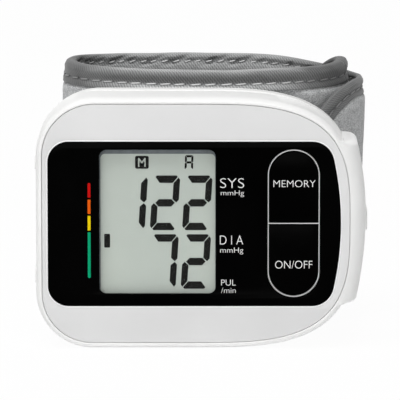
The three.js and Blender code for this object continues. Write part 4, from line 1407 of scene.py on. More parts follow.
@dataclass(frozen=True)
class Digit:
    """A seven-segment digit with mitred ends and a slant."""

    width: float
    height: float
    bar: float
    post: float
    gap: float
    slant: float

    shapes: ClassVar[dict[str, str]] = {"1": "bc", "2": "abged", "7": "abc", "A": "abcefg"}

    def segments(self) -> dict[str, Outline]:
        """Outline the seven segments of an upright digit from its lower left corner.

        Returns:
            The outlines by their letters.
        """
        w, h, b, p, g = self.width, self.height, self.bar, self.post, self.gap
        m, half = h / 2, b / 2
        left = [(0.58 * p, 0.0), (0.38 * p, 0.2 * b), (1.1 * p, b)]
        flat = left + [(w - u, v) for u, v in reversed(left)]
        post = [(0.0, 0.58 * b), (0.26 * p, 0.27 * b), (p, b + g / 2)]
        post += [(p, m - 0.5 * b), (0.38 * p, m - 0.6 * g), (0.0, m - 0.42 * b)]
        end, corner = 0.6 * p, 1.13 * p
        middle = [(end, m), (corner, m + half), (w - corner, m + half)]
        middle += [(w - end, m), (w - corner, m - half), (corner, m - half)]
        return {
            "a": [(u, h - v) for u, v in flat],
            "b": [(w - u, h - v) for u, v in post],
            "c": [(w - u, v) for u, v in post],
            "d": flat,
            "e": post,
            "f": [(u, h - v) for u, v in post],
            "g": middle,
        }

    def drawn(self, sign: str, x: float, z: float) -> list[Outline]:
        """Outline the lit segments of a sign at a place, slanted about its foot."""
        lean = math.tan(math.radians(self.slant))
        lit = [self.segments()[name] for name in self.shapes[sign]]
        return [[(x + u + v * lean, z + v) for u, v in shape] for shape in lit]


@dataclass
class Readout:
    """What the display shows: two rows of digits, the memory mark, a small sign and a level block, with a
    painted shadow under the top edge of the window.

    The places are columns and rows of the photograph.
    """

    finishes: Finishes
    face: Face
    glass: float = 2.25
    film: float = 0.04
    big: Digit = Digit(7.38, 14.95, 2.02, 1.74, 0.16, 3.6)
    small: Digit = Digit(2.3, 3.95, 0.6, 0.58, 0.06, 2.0)
    pitch: float = 8.74
    upper: Flat = (149.55, 230.2)
    lower: Flat = (148.05, 289.1)
    sign: Flat = (184.5, 169.6)
    memory: tuple[Flat, Flat] = ((135.0, 148.7), (155.8, 168.7))
    memory_letter: tuple[Flat, Flat] = ((138.0, 145.6), (158.0, 166.8))
    letter_weight: float = 0.005
    level: tuple[Flat, Flat] = ((103.9, 109.8), (233.9, 247.7))
    # Row of the photograph where the painted shadow at the top of the window ends.
    shadow_strip_foot: float = 153.8

    def spot(self, photo: Flat) -> Flat:
        """Return the place on the display glass of a column and a row of the photograph."""
        return (self.face.across(photo[0]), self.face.up(photo[1], self.glass))

    def lay(self, name: str, shapes: Sequence[Outline]) -> None:
        """Lay lit shapes on the display glass as one piece.

        Args:
            name: Name of the piece.
            shapes: Outlines of the shapes.
        """
        parts = [
            Bench.plate(f"{name}_{number}", [shape], self.glass - self.film, self.glass)
            for number, shape in enumerate(shapes)
        ]
        if len(parts) > 1:
            Bench.join(*parts)
        self.finishes.settle(Bench.named(name), Slot.DISPLAY, material=self.finishes.segment)

    def digits(self, name: str, signs: str, place: Flat, first: int) -> None:
        """Lay a row of digits from the number of its first one, counted from the one at a place."""
        x, foot = place
        for number, sign in enumerate(signs):
            left = x + (number + first) * self.pitch
            self.lay(f"{name}_{number}", self.big.drawn(sign, left, foot))

    def build(self) -> None:
        """Lay out the digits and the marks of the display."""
        self.digits("upper_digit", "122", self.spot(self.upper), -1)
        self.digits("lower_digit", "72", self.spot(self.lower), 0)
        self.lay("small_sign", self.small.drawn("A", *self.spot(self.sign)))
        self.lay("memory_mark", [rounded(self.face.box(*self.memory, self.glass), 0.5)])
        inside, top = self.face.box(*self.memory_letter, self.glass), self.glass - self.film
        letter = Bench.letters("memory_letter", "M", inside, top, self.film / 2, self.letter_weight)
        self.finishes.settle(letter, Slot.DISPLAY, material=self.finishes.cleared)
        # Painted shadow: a thin dark ring on the display glass round the window, its top band wide, standing
        # in for the shadow under the window's upper edge.
        left, right, low, high = self.face.window
        outer = rounded((left - 0.5, right + 0.5, low - 0.5, high + 0.6), 0.5)
        foot = self.face.up(self.shadow_strip_foot, self.glass)
        inner = rounded((left + 0.3, right - 0.12, low - 0.3, foot), 1.3)
        edge = Bench.plate("painted_shadow_strip", [outer, inner], self.glass - self.film / 2, self.glass)
        self.finishes.settle(edge, Slot.DISPLAY, material=self.finishes.strip)
        self.lay("level_block", [rounded(self.face.box(*self.level, self.glass), 0.25)])


@dataclass
class Keys:
    """The two press keys in their thin rim, with their printed names."""

    finishes: Finishes
    face: Face
    rim: float = 0.21
    rim_edge: float = 0.05
    edge: float = 0.2
    front: float = 0.1
    back: float = 3.0
    frame_back: float = 2.3
    name_weight: float = -0.013

    def key_outline(self, sign: int, inset: float) -> Outline:
        """Outline one key.

        Args:
            sign: 1 for the key over the cross bar, -1 for the one under it.
            inset: How far inside the rim it is.

        Returns:
            The outline, counter-clockwise.
        """
        f = self.face
        r, end = f.key_half_w - inset, f.key_half_h - f.key_half_w
        bar = self.rim / 2 + inset - self.rim
        upper = [(f.key_x - r, bar), (f.key_x + r, bar)] + arc(f.key_x, end, r, 0, 180, 28)
        return upper if sign > 0 else [(x, -z) for x, z in reversed(upper)]

    def build(self) -> None:
        """Model the rim and the two keys, and print their names."""
        outlines = [self.face.keys_outline(0.0)] + [self.key_outline(sign, self.rim) for sign in (1, -1)]
        rim = Bench.plate("key_rim", outlines, self.front - self.rim_edge, self.frame_back, self.rim_edge)
        self.finishes.settle(rim, Slot.PALE, "key_frame", material=self.finishes.rim_line)
        rows = [
            ("memory", 1, Body.MEMORY, "MEMORY", (273.4, 315.5), (180.3, 187.2)),
            ("power", -1, Body.POWER, "ON/OFF", (275.3, 312.6), (260.9, 268.7)),
        ]
        for name, sign, body, words, columns, lines in rows:
            outline = self.key_outline(sign, self.rim + self.edge)
            key = Bench.plate(f"{name}_key", [outline], self.front, self.back, self.edge)
            self.finishes.settle(key, Slot.GLOSS_BLACK, f"{name}_button", carry=Carry(body))
            self.face.label(f"{name}_key_name", words, self.face.box(columns, lines), self.name_weight, body)


@dataclass
class BatteryCover:
    """The wing on the right side, which rolls off from the face to a bowed side and plugs into the bay."""

    finishes: Finishes
    shape: HousingShape = field(default_factory=HousingShape)
    half: float = 22.15
    rise: float = 0.8
    low_half: float = 22.4
    droop: float = 0.07
    droop_from: float = 38.0
    droop_over: float = 8.0
    droop_front: float = 0.35
    droop_power: float = 1.5
    side_x: float = 46.05
    side_z: float = 2.0
    side_radius: float = 86.0
    low_radius: float = 112.0
    start: float = 33.5
    rim_x: float = 39.6
    rim_soft: float = 1.9
    roll_width: float = 6.0
    roll_depth: float = 5.0
    roll_steps: int = 16
    flat_steps: int = 6
    side_y: float = 12.0
    back_edge: Rows = ((0.0, 1.5), (0.2, 0.6), (0.8, 0.0))
    end_radius: float = 1.2
    end_steps: int = 7
    middle_steps: int = 40
    lip: float = 2.1
    lip_inset: float = 1.63
    gap: float = 0.12
    back: float = 20.5
    fillet: tuple[Place, ...] = (
        (0.63, 0.4, 0.35), (0.31, 1.0, 0.55), (0.15, 1.5, 0.45), (0.08, 2.2, 0.5), (0.0, 3.0, 0.5),
        (0.0, 3.8, 0.3),
    )
    fillet_hollow: float = 0.08
    fillet_steps: int = 8
    grip_half: float = 3.0
    grip_front: float = 7.0
    grip_back: float = 18.1
    grip_corner: float = 1.2
    grip_rows: Rows = ((-1.0, 0.0), (0.15, 0.0), (0.38, 0.12), (0.48, 0.36), (0.5, 0.8))
    plug_front: float = 8.3
    plug_back: float = 18.7
    plug_half: float = 22.15
    plug_edge: float = 0.15
    plug_steps: int = 24
    wall: float = 1.3

    def reach(self, z: float) -> float:
        """Return how far out the wing's side is at a height."""
        radius = self.side_radius if z > self.side_z else self.low_radius
        return self.side_x - radius + math.sqrt(radius**2 - (z - self.side_z) ** 2)

    def end_height(self, sign: int, y: float) -> float:
        """Return how far an end of the wing is from its middle at a depth: its top rises to the back."""
        return self.half + self.rise * y / self.back if sign > 0 else self.low_half

    def spot(self, x: float, y: float, z: float) -> Vector:
        """Place a point of the wing, whose ends draw together towards its side."""
        share = max(0.0, (x - self.droop_from) / self.droop_over)
        deep = self.droop_front + (1 - self.droop_front) * y / self.back
        climb = self.rise * max(0.0, z / self.half) * y / self.back
        return DATUM.at(x, y, z * (1 - self.droop * deep * share**self.droop_power) + climb)

    def section(self, z: float, inset: float) -> Loop:
        """Return the wing's outline seen from above at a height.

        Args:
            z: Height of the section.
            inset: How far the outer faces draw in, near the ends.

        Returns:
            The loop of points in metres.
        """
        side, roll = self.reach(z), []
        for t in spaced(0.0, QUARTER, self.roll_steps):
            x = side - self.roll_width * (1 - math.sin(t))
            drawn_in = inset * ease((x - self.rim_x) / self.rim_soft)
            roll.append((x - drawn_in, drawn_in + self.roll_depth * (1 - math.cos(t))))
        flat = [(x, 0.0) for x in spaced(self.start, roll[0][0], self.flat_steps)[:-1]]
        outer, back = side - inset, self.back - inset / 2
        tail = [(outer, self.side_y)] + [(outer - x, back - y) for x, y in self.back_edge]
        return [self.spot(x, y, z) for x, y in flat + roll + tail + [(self.start, back)]]

    def wing(self) -> Piece:
        """Model the wing from its bottom end to its top end, and cut it to the plate and the housing.

        Returns:
            The wing.
        """
        turns = spaced(0.0, QUARTER, self.end_steps)
        end = [(self.end_radius * (1 - math.cos(t)), self.end_radius * (1 - math.sin(t))) for t in turns]
        low = [(short - self.low_half, inset) for short, inset in end]
        high = [(self.half - short, inset) for short, inset in reversed(end)]
        middle = [(z, 0.0) for z in spaced(low[-1][0], high[0][0], self.middle_steps)[1:-1]]
        rows = [self.section(z, inset) for z, inset in low + middle + high]
        piece = Bench.skin("battery_cover_finished", rows, Ends.CAPPED)
        plate = Bench.plate("plate_room", [self.shape.front(self.lip_inset)], -3.0, self.lip + 1.0)
        side = self.shape.outline(-self.gap)
        rings = [Bench.ring(side, self.lip), Bench.ring(side, self.back + 5)]
        return Bench.cut(piece, plate, Bench.skin("housing_room", rings, Ends.CAPPED))

    def corner(self, sign: int) -> Piece:
        """Model the hollow fillet between the rim and an end of the wing.

        Args:
            sign: 1 for the top end, -1 for the bottom end.

        Returns:
            The fillet.
        """
        loops, rise = [], 0.5
        for inset, y, size in self.fillet:
            end = self.end_height(sign, y) - 0.04
            x = self.shape.side(end, -inset)
            slope = (self.shape.side(end + rise, -inset) - x) / rise
            up = size / math.hypot(1.0, slope)
            first, last = (x + slope * up, end + up), (x + size, end)
            pull = (x + self.fillet_hollow * size, end + self.fillet_hollow * size)
            loop = []
            for t in spaced(0.0, 1.0, self.fillet_steps):
                a, b, c = (1 - t) ** 2, 2 * (1 - t) * t, t * t
                u, v = (a * start + b * bow + c * stop for start, bow, stop in zip(first, pull, last))
                loop.append((u, v))
            loop += [(last[0] - 0.1, end - 0.3), (x - 0.25, end - 0.3), (first[0] - 0.25, first[1] - 0.1)]
            loops.append([DATUM.at(u, y, sign * v) for u, v in loop])
        return Bench.skin(f"corner_{sign}", loops, Ends.CAPPED)

    def grip(self) -> Piece:
        """Model the raised grip on the side."""
        box = (-self.grip_half, self.grip_half, self.grip_front, self.grip_back)
        rows = [(self.side_x + proud, inset) for proud, inset in self.grip_rows]
        return Bench.stud("grip", box, self.grip_corner, rows, 6)

    def plug_outline(self, half: float, left: float, grow: float) -> Outline:
        """Outline the plug, straight on the left and along the housing's side, with a gap, on the right."""
        side = [(self.shape.side(z, grow), z) for z in spaced(-half, half, self.plug_steps)]
        return [(left, -half)] + side + [(left, half)]

    def plug(self) -> Piece:
        """Model the hollow plug that goes into the battery bay.

        Returns:
            The plug.
        """
        wall, front, back = self.wall, self.plug_front, self.plug_back
        outside = self.plug_outline(self.plug_half, self.start, 0.6)
        hollow = self.plug_outline(self.plug_half - wall, self.start - 2, -0.3)
        piece = Bench.plate("plug", [outside], front, back, self.plug_edge)
        return Bench.cut(piece, Bench.plate("plug_room", [hollow], front + wall, back - wall))

    def build(self) -> None:
        """Model, dress and place the cover."""
        piece = Bench.join(self.wing(), self.grip(), self.plug(), self.corner(1), self.corner(-1))
        self.finishes.settle(piece, Slot.WHITE, "battery_cover", carry=Carry(Body.COVER))


@dataclass(frozen=True)
class Station:
    """A point of an edge route: length along the cuff, height, and the way inwards from the edge."""

    s: float
    z: float
    ds: float
    dz: float


@dataclass
class CuffPath:
    """The middle line of the cuff, wound clockwise seen from above and laid out by its length."""

    centre: Flat = (2.85, 54.2)
    half_width: float = 37.8
    near: float = 25.0
    far: float = 14.0
    far_power: float = 2.4
    pitch: float = 4.4
    grow: Flat = (-185.0, -300.0)
    levels: Rows = (
        (60.0, 0.75), (5.0, 0.75), (-30.0, 0.0), (-140.0, 0.0), (-200.0, 0.42), (-275.0, -0.2),
        (-350.0, -4.4), (-430.0, -4.4),
    )
    lean: Flat = (1.0, 2.0)
    lean_from: Flat = (-10.0, -315.0)
    lean_over: Flat = (12.0, 18.0)
    start: float = 45.0
    hinge: float = -186.0
    peel: float = -361.0
    end: float = -412.0
    top: float = 38.3
    width: float = 61.5
    inner_radius: float = 14.0
    tip_radius: float = 23.0
    step: float = 0.25
    angles: list[float] = field(default_factory=list)
    lengths: list[float] = field(default_factory=list)
    places: list[Vector] = field(default_factory=list)

    def __post_init__(self) -> None:
        """Walk along the cuff and keep its angle, length and place."""
        for i in range(int((self.start - self.end) / self.step) + 1):
            angle = self.start - i * self.step
            place = self.middle(angle)
            walked = self.lengths[-1] + (place - self.places[-1]).xy.length if i else 0.0
            self.angles.append(angle)
            self.lengths.append(walked)
            self.places.append(place)

    def middle(self, angle: float) -> Vector:
        """Find the middle of the strip.

        Args:
            angle: Angle round the wrist, in degrees.

        Returns:
            The place in millimetres from the face.
        """
        grown = self.pitch * ease((self.grow[0] - angle) / (self.grow[0] - self.grow[1]))
        c, s = math.cos(math.radians(angle)), math.sin(math.radians(angle))
        power = 1.0 if s < 0 else 2 / self.far_power
        depth = (self.near if s < 0 else self.far) + grown
        x = (self.half_width + grown) * math.copysign(abs(c) ** power, c)
        y = depth * math.copysign(abs(s) ** power, s)
        return Vector((self.centre[0] + x, self.centre[1] + y, follow(self.levels, angle)))

    def lean_at(self, s: float) -> float:
        """Return how far the lower edge draws in at a length: on the right bend, more on the second turn."""
        first, second = (self.length_at(angle) for angle in self.lean_from)
        early = ease((first + self.lean_over[0] - s) / self.lean_over[0])
        late = ease((s - second) / self.lean_over[1])
        return self.lean[0] * early + self.lean[1] * late

    @property
    def length(self) -> float:
        """Return the whole length of the strip."""
        return self.lengths[-1]

    def length_at(self, angle: float) -> float:
        """Return the length along the strip at an angle."""
        return self.lengths[round((self.start - angle) / self.step)]

    def spot(self, s: float) -> Vector:
        """Return the place of the middle line at a length, carried on straight beyond its ends."""
        high = min(max(bisect_right(self.lengths, s), 1), len(self.lengths) - 1)
        share = (s - self.lengths[high - 1]) / (self.lengths[high] - self.lengths[high - 1])
        return self.places[high - 1].lerp(self.places[high], share)

    def outward(self, s: float) -> Vector:
        """Return the direction out of the wound strip at a length."""
        ahead = self.spot(s + 1.0) - self.spot(s - 1.0)
        return Vector((-ahead.y, ahead.x, 0)).normalized()

    def at(self, s: float, z: float, n: float) -> Vector:
        """Return the place in metres at a length, a height and a distance out from the middle."""
        drawn = self.lean_at(s) * (0.5 - z / self.width)
        place = self.spot(s) + self.outward(s) * (n - drawn)
        return DATUM.at(place.x, place.y, place.z + self.top - self.width / 2 + z)

    def ends(self, s: float) -> tuple[Flat, Flat]:
        """Return the distance from both ends of the strip at a length, each with the end's radius."""
        return (s, self.inner_radius), (self.length - s, self.tip_radius)

    def half_height(self, s: float, inset: float) -> float:
        """Measure the strip's height, with its rounded ends.

        Args:
            s: Length along the strip.
            inset: Distance inside the strip's outline.

        Returns:
            Half the height.
        """
        loss = 0.0
        for reach, radius in self.ends(s):
            r, d = radius - inset, max(0.0, reach - inset)
            if d < r:
                loss = max(loss, r - math.sqrt(max(0.0, r * r - (r - d) ** 2)))
        return self.width / 2 - inset - loss

    def inside(self, s: float, z: float) -> float:
        """Measure how far a point of the strip is in from its outline.

        Args:
            s: Length along the strip.
            z: Height from the middle of the strip.

        Returns:
            The distance.
        """
        rows, low = [], self.width / 2 - abs(z)
        for reach, radius in self.ends(s):
            if reach < radius and low < radius:
                rows.append(radius - math.hypot(radius - reach, radius - low))
            else:
                rows.append(min(reach, low))
        return min(rows)

    def edge(self, start: float, stop: float, side: int, step: float) -> list[Station]:
        """Route along the top or bottom edge between two lengths."""
        count = max(1, round(abs(stop - start) / step))
        return [Station(s, side * self.width / 2, 0.0, -side) for s in spaced(start, stop, count)]

    def round_end(self, end: float, radius: float, heading: int, step: float) -> list[Station]:
        """Route round an end from the top edge to the bottom edge.

        Args:
            end: Length along the strip of the end.
            radius: Radius of its corners.
            heading: 1 for the tip, -1 for the inner end.
            step: Distance between the points.

        Returns:
            The points in order.
        """
        straight = self.width / 2 - radius
        corners: dict[int, list[Station]] = {1: [], -1: []}
        for t in spaced(0.0, QUARTER, max(6, round(radius * QUARTER / step))):
            c, s = math.cos(t), math.sin(t)
            along, high = end - heading * radius * (1 - s), self.width / 2 - radius * (1 - c)
            for side, made in corners.items():
                made.append(Station(along, side * high, -heading * s, -side * c))
        rows = max(1, round(2 * straight / step))
        middle = [Station(end, z, -heading, 0.0) for z in spaced(straight, -straight, rows)[1:-1]]
        return corners[1] + middle + corners[-1][::-1]

    @staticmethod
    def walked(route: Sequence[Station]) -> list[float]:
        """Return the distance along a route at each of its points."""
        pairs = zip(route, route[1:])
        steps = (math.hypot(after.s - before.s, after.z - before.z) for before, after in pairs)
        return [0.0, *accumulate(steps)]


@dataclass(frozen=True)
class Seam:
    """A row of stitches on one face of the tape: its distance in from the edge, and its stitches."""

    line: float
    length: float
    pitch: float
    slant: float
    radius: float


@dataclass(frozen=True)
class Length:
    """One sewn length of the cuff: its span, its edge routes, the nodes it stands for and how it moves."""

    name: str
    start: float
    stop: float
    routes: list[list[Station]]
    pads: tuple[str, ...]
    tapes: tuple[str, ...]
    carry: Carry


@dataclass
class Cuff:
    """The wound cuff in three sewn lengths, each a fleece pad with a rolled twill edge and stitches."""

    finishes: Finishes
    path: CuffPath = field(default_factory=CuffPath)
    joints: Flat = (-12.0, -322.0)
    bend: Flat = (51.0, 65.0)
    peel: Flat = (61.0, 46.5)
    stack: float = 1.525
    thin_low: float = 0.175
    taper: float = 9.0
    tuck: float = 0.9
    columns: int = 60
    pad_step: float = 1.1
    pad_soft: float = 0.5
    swell: float = 1.1
    seat_swell: float = 0.1
    inner_swell: float = 0.35
    pile: float = 0.11
    wave: float = 0.22
    hook_step: float = 0.8
    hook_inset: float = 10.5
    hook_gap: float = 4.5
    hook_faces: Flat = (0.3, -0.28)
    hook: float = 0.16
    tape: float = 6.0
    tip_share: float = 0.22
    cloth: float = 1.5
    fine: float = 0.55
    hem: float = 0.15
    reach: tuple[float, ...] = (
        5.9, 5.6, 5.2, 4.8, 4.4, 4.1, 3.85, 3.6, 3.3, 3.0, 2.7, 2.4, 2.1, 1.8, 1.5, 1.2, 0.95,
    )
    roll: float = 0.7
    roll_bulge: float = 0.75
    roll_steps: int = 10
    outer_rows: Rows = (
        (0.7, 0.05), (1.2, 0.38), (1.7, 0.48), (2.3, 0.42), (3.0, 0.24), (3.6, 0.1), (3.95, 0.08),
        (4.4, 0.28), (5.0, 0.6), (5.8, 0.76),
    )
    inner_rows: Rows = (
        (0.5, 0.05), (0.9, 0.24), (1.3, 0.2), (1.8, 0.0), (2.3, -0.12), (2.8, 0.1), (3.4, 0.36), (4.4, 0.5),
        (5.8, 0.5),
    )
    outer_fold: float = 0.1
    inner_fold: float = 0.26
    slack: float = 0.1
    sway: float = 0.22
    sway_reach: float = 3.5
    pucker_x: tuple[float, ...] = (-30.5, -26.5, -18.5, -8.0, -1.0, 10.0, 17.5)
    pucker_angles: Flat = (-320.0, -188.0)
    pucker_depth: float = 0.5
    pucker_width: float = 1.4
    pucker_slope: float = 2.2
    flare: float = 0.42
    flare_angle: float = -180.0
    flare_reach: float = 15.0
    outer_seam: Seam = Seam(3.85, 3.75, 4.1, -0.16, 0.2)
    inner_seam: Seam = Seam(2.3, 2.35, 3.15, 0.32, 0.2)
    thread_lift: float = 0.16
    thread_sink: float = 0.22
    thread_flat: float = 0.8
    thread_sides: int = 6
    thread_steps: int = 8
    puckers: list[float] = field(default_factory=list)

    def __post_init__(self) -> None:
        """Find where along the far side the tape puckers."""
        path, (first, last) = self.path, self.pucker_angles
        walk = [
            (s, place.x)
            for angle, s, place in zip(path.angles, path.lengths, path.places)
            if first < angle < last
        ]
        self.puckers = [min(walk, key=lambda row: abs(row[1] - x))[0] for x in self.pucker_x]

    def breadth(self, s: float) -> float:
        """Return the share of its full breadth that the tape has at a length: less along the tip."""
        return 1 - self.tip_share * ease((s - self.path.length_at(self.joints[1])) / 8)

    def low_face(self, s: float) -> float:
        """Return the inner face of the strip at a length: thick with the bladder, thin beyond it."""
        hinge = self.path.length_at(self.path.hinge)
        share = ease((s - hinge + self.taper * 0.4) / self.taper)
        return -self.stack + (self.thin_low + self.stack) * share

    def outer_swell(self, s: float) -> float:
        """Return how far the pad bulges outwards at a length: little where it lies on the saddle."""
        place = self.path.spot(s)
        near = ease((self.path.centre[1] - 6 - place.y) / 8)
        seat = near * ease((27 - abs(place.x - self.path.centre[0])) / 6)
        return self.swell + (self.seat_swell - self.swell) * seat

    def sheet(
        self, name: str, lengths: Sequence[float], inset: float, level: Level
    ) -> Piece:
        """Weave a closed sheet that follows the strip.

        Args:
            name: Name of the piece.
            lengths: Lengths along the strip of its rows.
            inset: How far it stays inside the strip's outline.
            level: Distance out from the middle line at a length and a height, on the face 1 or -1, at a
                number that is odd for every other point.

        Returns:
            The closed sheet.
        """
        there = [(1, j) for j in range(self.columns + 1)]
        around = there + [(-1, j) for _, j in reversed(there)]
        spots, marks = [], []
        for i, s in enumerate(lengths):
            half = self.path.half_height(s, inset)
            row = [(face, (2 * j / self.columns - 1) * half, i + j) for face, j in around]
            spots.append([self.path.at(s, z, level(s, z, face, number)) for face, z, number in row])
            marks.append([(s / 10, (z + face * 100) / 10) for face, z, _ in row])
        return Bench.weave(name, [(spots, marks)])

    def pad_level(self, s: float, z: float, face: int, _: int) -> float:
        """Find a face of the fleece pad, which is full in the middle and sunk under the tape.

        Args:
            s: Length along the strip.
            z: Height from the middle of the strip.
            face: 1 for the outer face, -1 for the inner one.
            _: Number of the point, which the pad has no use for.

        Returns:
            The distance out from the middle line.
        """
        low, tape, depth = self.low_face(s), self.tape * self.breadth(s), self.path.inside(s, z)
        crown = ease((depth - tape + 1.2) / 2.8)
        sunk = min(0.9, 0.4 * (self.stack - low)) * ease(tape - 0.1 - depth)
        pile = self.pile * noise.noise(Vector((s * 0.8, z * 0.8, face * 7.0)))
        wave = self.wave * noise.noise(Vector((s * 0.11, z * 0.09, face * 3.0)))
        if face > 0:
            return self.stack + (self.outer_swell(s) * crown - sunk + (pile + wave * 0.5) * crown)
        return low + (sunk - self.inner_swell * crown + (pile + wave) * crown)

    def hook_level(self, _s: float, _z: float, face: int, number: int) -> float:
        """Return where a face of the hook field is: flat on the pad, and a hook at every other point."""
        outer, inner = self.hook_faces
        return outer if face > 0 else inner - self.hook * (number % 2)

    def pad(self, name: str, start: float, stop: float) -> Piece:
        """Weave the fleece pad of a length between its start and its stop along the strip."""
        lengths = spaced(start, stop, round((stop - start) / self.pad_step))
        return self.sheet(name, lengths, self.tuck, self.pad_level)

    def hook_field(self) -> Piece:
        """Weave the hook field on the inner face of the tip."""
        start = self.path.length_at(self.path.peel) + self.hook_gap
        stop = self.path.length - self.hook_inset
        lengths = spaced(start, stop, round((stop - start) / self.hook_step))
        return self.sheet("cuff_hook_field", lengths, self.hook_inset, self.hook_level)

    def spread(self, s: float, p: float) -> float:
        """Return how far the tape's outer face flares at the left bend, at a distance in from the edge."""
        away = abs(s - self.path.length_at(self.flare_angle)) / self.flare_reach
        rise = ease((p - 2.0) / 1.7) * (1 - 0.55 * ease((p - 4.2) / 1.4))
        return self.flare * ease(1.6 * (1 - away)) * rise

    def pucker(self, s: float, p: float) -> float:
        """Return how deep the folds pull the inner face in at a length and a distance from the edge."""
        depth = sum(math.exp(-(((s - spot) / self.pucker_width) ** 2)) for spot in self.puckers)
        return self.pucker_depth * depth * ease(p / 1.2) * ease((4.2 - p) / 1.6)

    def profile(self, s: float, half: float) -> list[tuple[float, float, int, float]]:
        """Return the section of the rolled tape before its folds.

        Args:
            s: Length along the strip.
            half: Half the strip's thickness there.

        Returns:
            The points in order: distance in from the edge, distance out from the middle of the strip, face,
            and distance round the tape in centimetres.
        """
        outer = [
            (p, half + follow(self.outer_rows, p) + self.spread(s, p), 1, (self.tape - p) / 10)
            for p in self.reach
        ]
        inner = [
            (p, -half - follow(self.inner_rows, p), -1, self.cloth - (self.tape - p) / 10)
            for p in reversed(self.reach)
        ]
        top, first = half + follow(self.outer_rows, self.roll), outer[-1][3]
        turned = []
        for i in range(1, self.roll_steps):
            turn = math.pi * i / self.roll_steps
            around = first + (self.cloth - 2 * first) * i / self.roll_steps
            p, n = self.roll - self.roll_bulge * math.sin(turn), top * math.cos(turn)
            turned.append((p, n, 1 if 2 * i < self.roll_steps else -1, around))
        start, stop = (self.tape, half - self.hem, 1, 0.0), (self.tape, self.hem - half, -1, self.cloth)
        return [start, *outer, *turned, *inner, stop]

    def section(self, station: Station, run: float) -> tuple[Loop, Outline]:
        """Return one section of the rolled tape with its folds.

        Args:
            station: Where the section is on its route.
            run: Distance along the route.

        Returns:
            The loop of points and their cloth coordinates.
        """
        low, high = self.low_face(station.s), self.stack
        middle, breadth = (low + high) / 2, self.breadth(station.s)
        sway = self.sway * noise.noise(Vector((run * 0.075, 2.0, 8.0)))
        spots, marks = [], []
        for p, n, side, around in self.profile(station.s, (high - low) / 2):
            free = ease((self.tape - p) / 1.2)
            amount = self.inner_fold if side < 0 else self.outer_fold
            fold = noise.noise(Vector(((run + side * 1.3 * p) * 0.34, p * 0.12 + side * 9.0, 4.0)))
            slack = noise.noise(Vector((run * 0.09, side * 5.0, 1.0)))
            lift = free * (amount * fold + self.slack * slack) * (1 if n > 0 else -1)
            if side < 0:
                lift += free * self.pucker(station.s + self.pucker_slope * p, p)
            inward = p * breadth + sway * ease((self.sway_reach - p) / self.sway_reach)
            s, z = station.s + inward * station.ds, station.z + inward * station.dz
            spots.append(self.path.at(s, z, middle + n + lift))
            marks.append((run / 10, around))
        return spots, marks

    def edge_tape(self, name: str, route: Sequence[Station]) -> Piece:
        """Weave the rolled tape along a route, its weave laid out from where the route starts."""
        start, sense = route[0].s, 1 if route[1].s > route[0].s else -1
        runs = [start + sense * walked for walked in self.path.walked(route)]
        rows = [self.section(station, run) for station, run in zip(route, runs)]
        return Bench.weave(name, [([spots for spots, _ in rows], [marks for _, marks in rows])])

    def stitches(self, name: str, routes: Sequence[Sequence[Station]]) -> Piece:
        """Sew both faces of the tape, as one mesh of short thread runs.

        Args:
            name: Name of the piece.
            routes: Edges to sew along.

        Returns:
            The stitches.
        """
        tubes = []
        for route in routes:
            for side, seam in ((1, self.outer_seam), (-1, self.inner_seam)):
                next_stitch = seam.pitch / 2
                for station, walked in zip(route, self.path.walked(route)):
                    if walked >= next_stitch:
                        next_stitch += seam.pitch
                        tubes.append(self.stitch(station, side, seam))
        return Bench.weave(name, tubes)

    def stitch(self, station: Station, side: int, seam: Seam) -> Tube:
        """Return one stitch.

        Args:
            station: Where the stitch is on its route.
            side: 1 for the outer face of the strip, -1 for the inner one.
            seam: Seam that it belongs to.

        Returns:
            Its sections and their cloth coordinates.
        """
        low, high = self.low_face(station.s), self.stack
        if side > 0:
            proud = follow(self.outer_rows, seam.line) + self.spread(station.s, seam.line)
        else:
            proud = follow(self.inner_rows, seam.line)
        over = (high - low) / 2 + proud + self.thread_lift
        n, breadth = (low + high) / 2 + side * over, self.breadth(station.s)
        spots, marks = [], []
        for i, u in enumerate(spaced(-1.0, 1.0, self.thread_steps)):
            reach, p = u * seam.length / 2, seam.line * breadth + seam.slant * u
            along = station.s + p * station.ds + reach * station.dz
            up = station.z + p * station.dz - reach * station.ds
            thick = seam.radius * math.sqrt(max(0.05, 1 - abs(u) ** 6))
            ring = []
            for t in spaced(0.0, 2 * math.pi, self.thread_sides)[:-1]:
                across, out = thick * math.cos(t), self.thread_flat * thick * math.sin(t)
                s, z = along + across * station.ds, up + across * station.dz
                ring.append(self.path.at(s, z, n + side * (out - self.thread_sink * u**6)))
            spots.append(ring)
            marks.append([(i / self.thread_steps, station.s / 10)] * self.thread_sides)
        return spots, marks

    def end_route(self, joint: float, end: float, radius: float, heading: int) -> list[Station]:
        """Route from a joint along the top edge, round an end and back along the bottom edge."""
        turn = end - heading * (radius + self.fine)
        there = self.path.edge(joint, turn, 1, self.fine)
        back = self.path.edge(turn, joint, -1, self.fine)
        return there + self.path.round_end(end, radius, heading, self.fine) + back

    def lengths(self) -> list[Length]:
        """Lay out the three lengths of the cuff.

        Returns:
            The inner length, the bend and the tip.
        """
        path = self.path
        near, far = (path.length_at(angle) for angle in self.joints)
        inner = self.end_route(near, 0.0, path.inner_radius, -1)
        tip = self.end_route(far, path.length, path.tip_radius, 1)
        sides = [path.edge(near, far, side, self.fine) for side in (1, -1)]
        return [
            Length(
                "inner", self.tuck, near, [inner], ("cuff_lining", "cuff_fabric"), ("cuff_binding",),
                Carry(Body.HOUSING),
            ),
            Length(
                "bend", near, far, sides, ("cuff_lining_free", "cuff_fabric_free"),
                ("cuff_binding_free_top", "cuff_binding_free_bottom"),
                Carry(Body.HOUSING, Body.FREE, self.bend),
            ),
            Length(
                "tip", far, path.length - self.tuck, [tip], ("cuff_fabric_tip",), ("cuff_binding_tip",),
                Carry(Body.FREE, Body.TIP, self.peel),
            ),
        ]

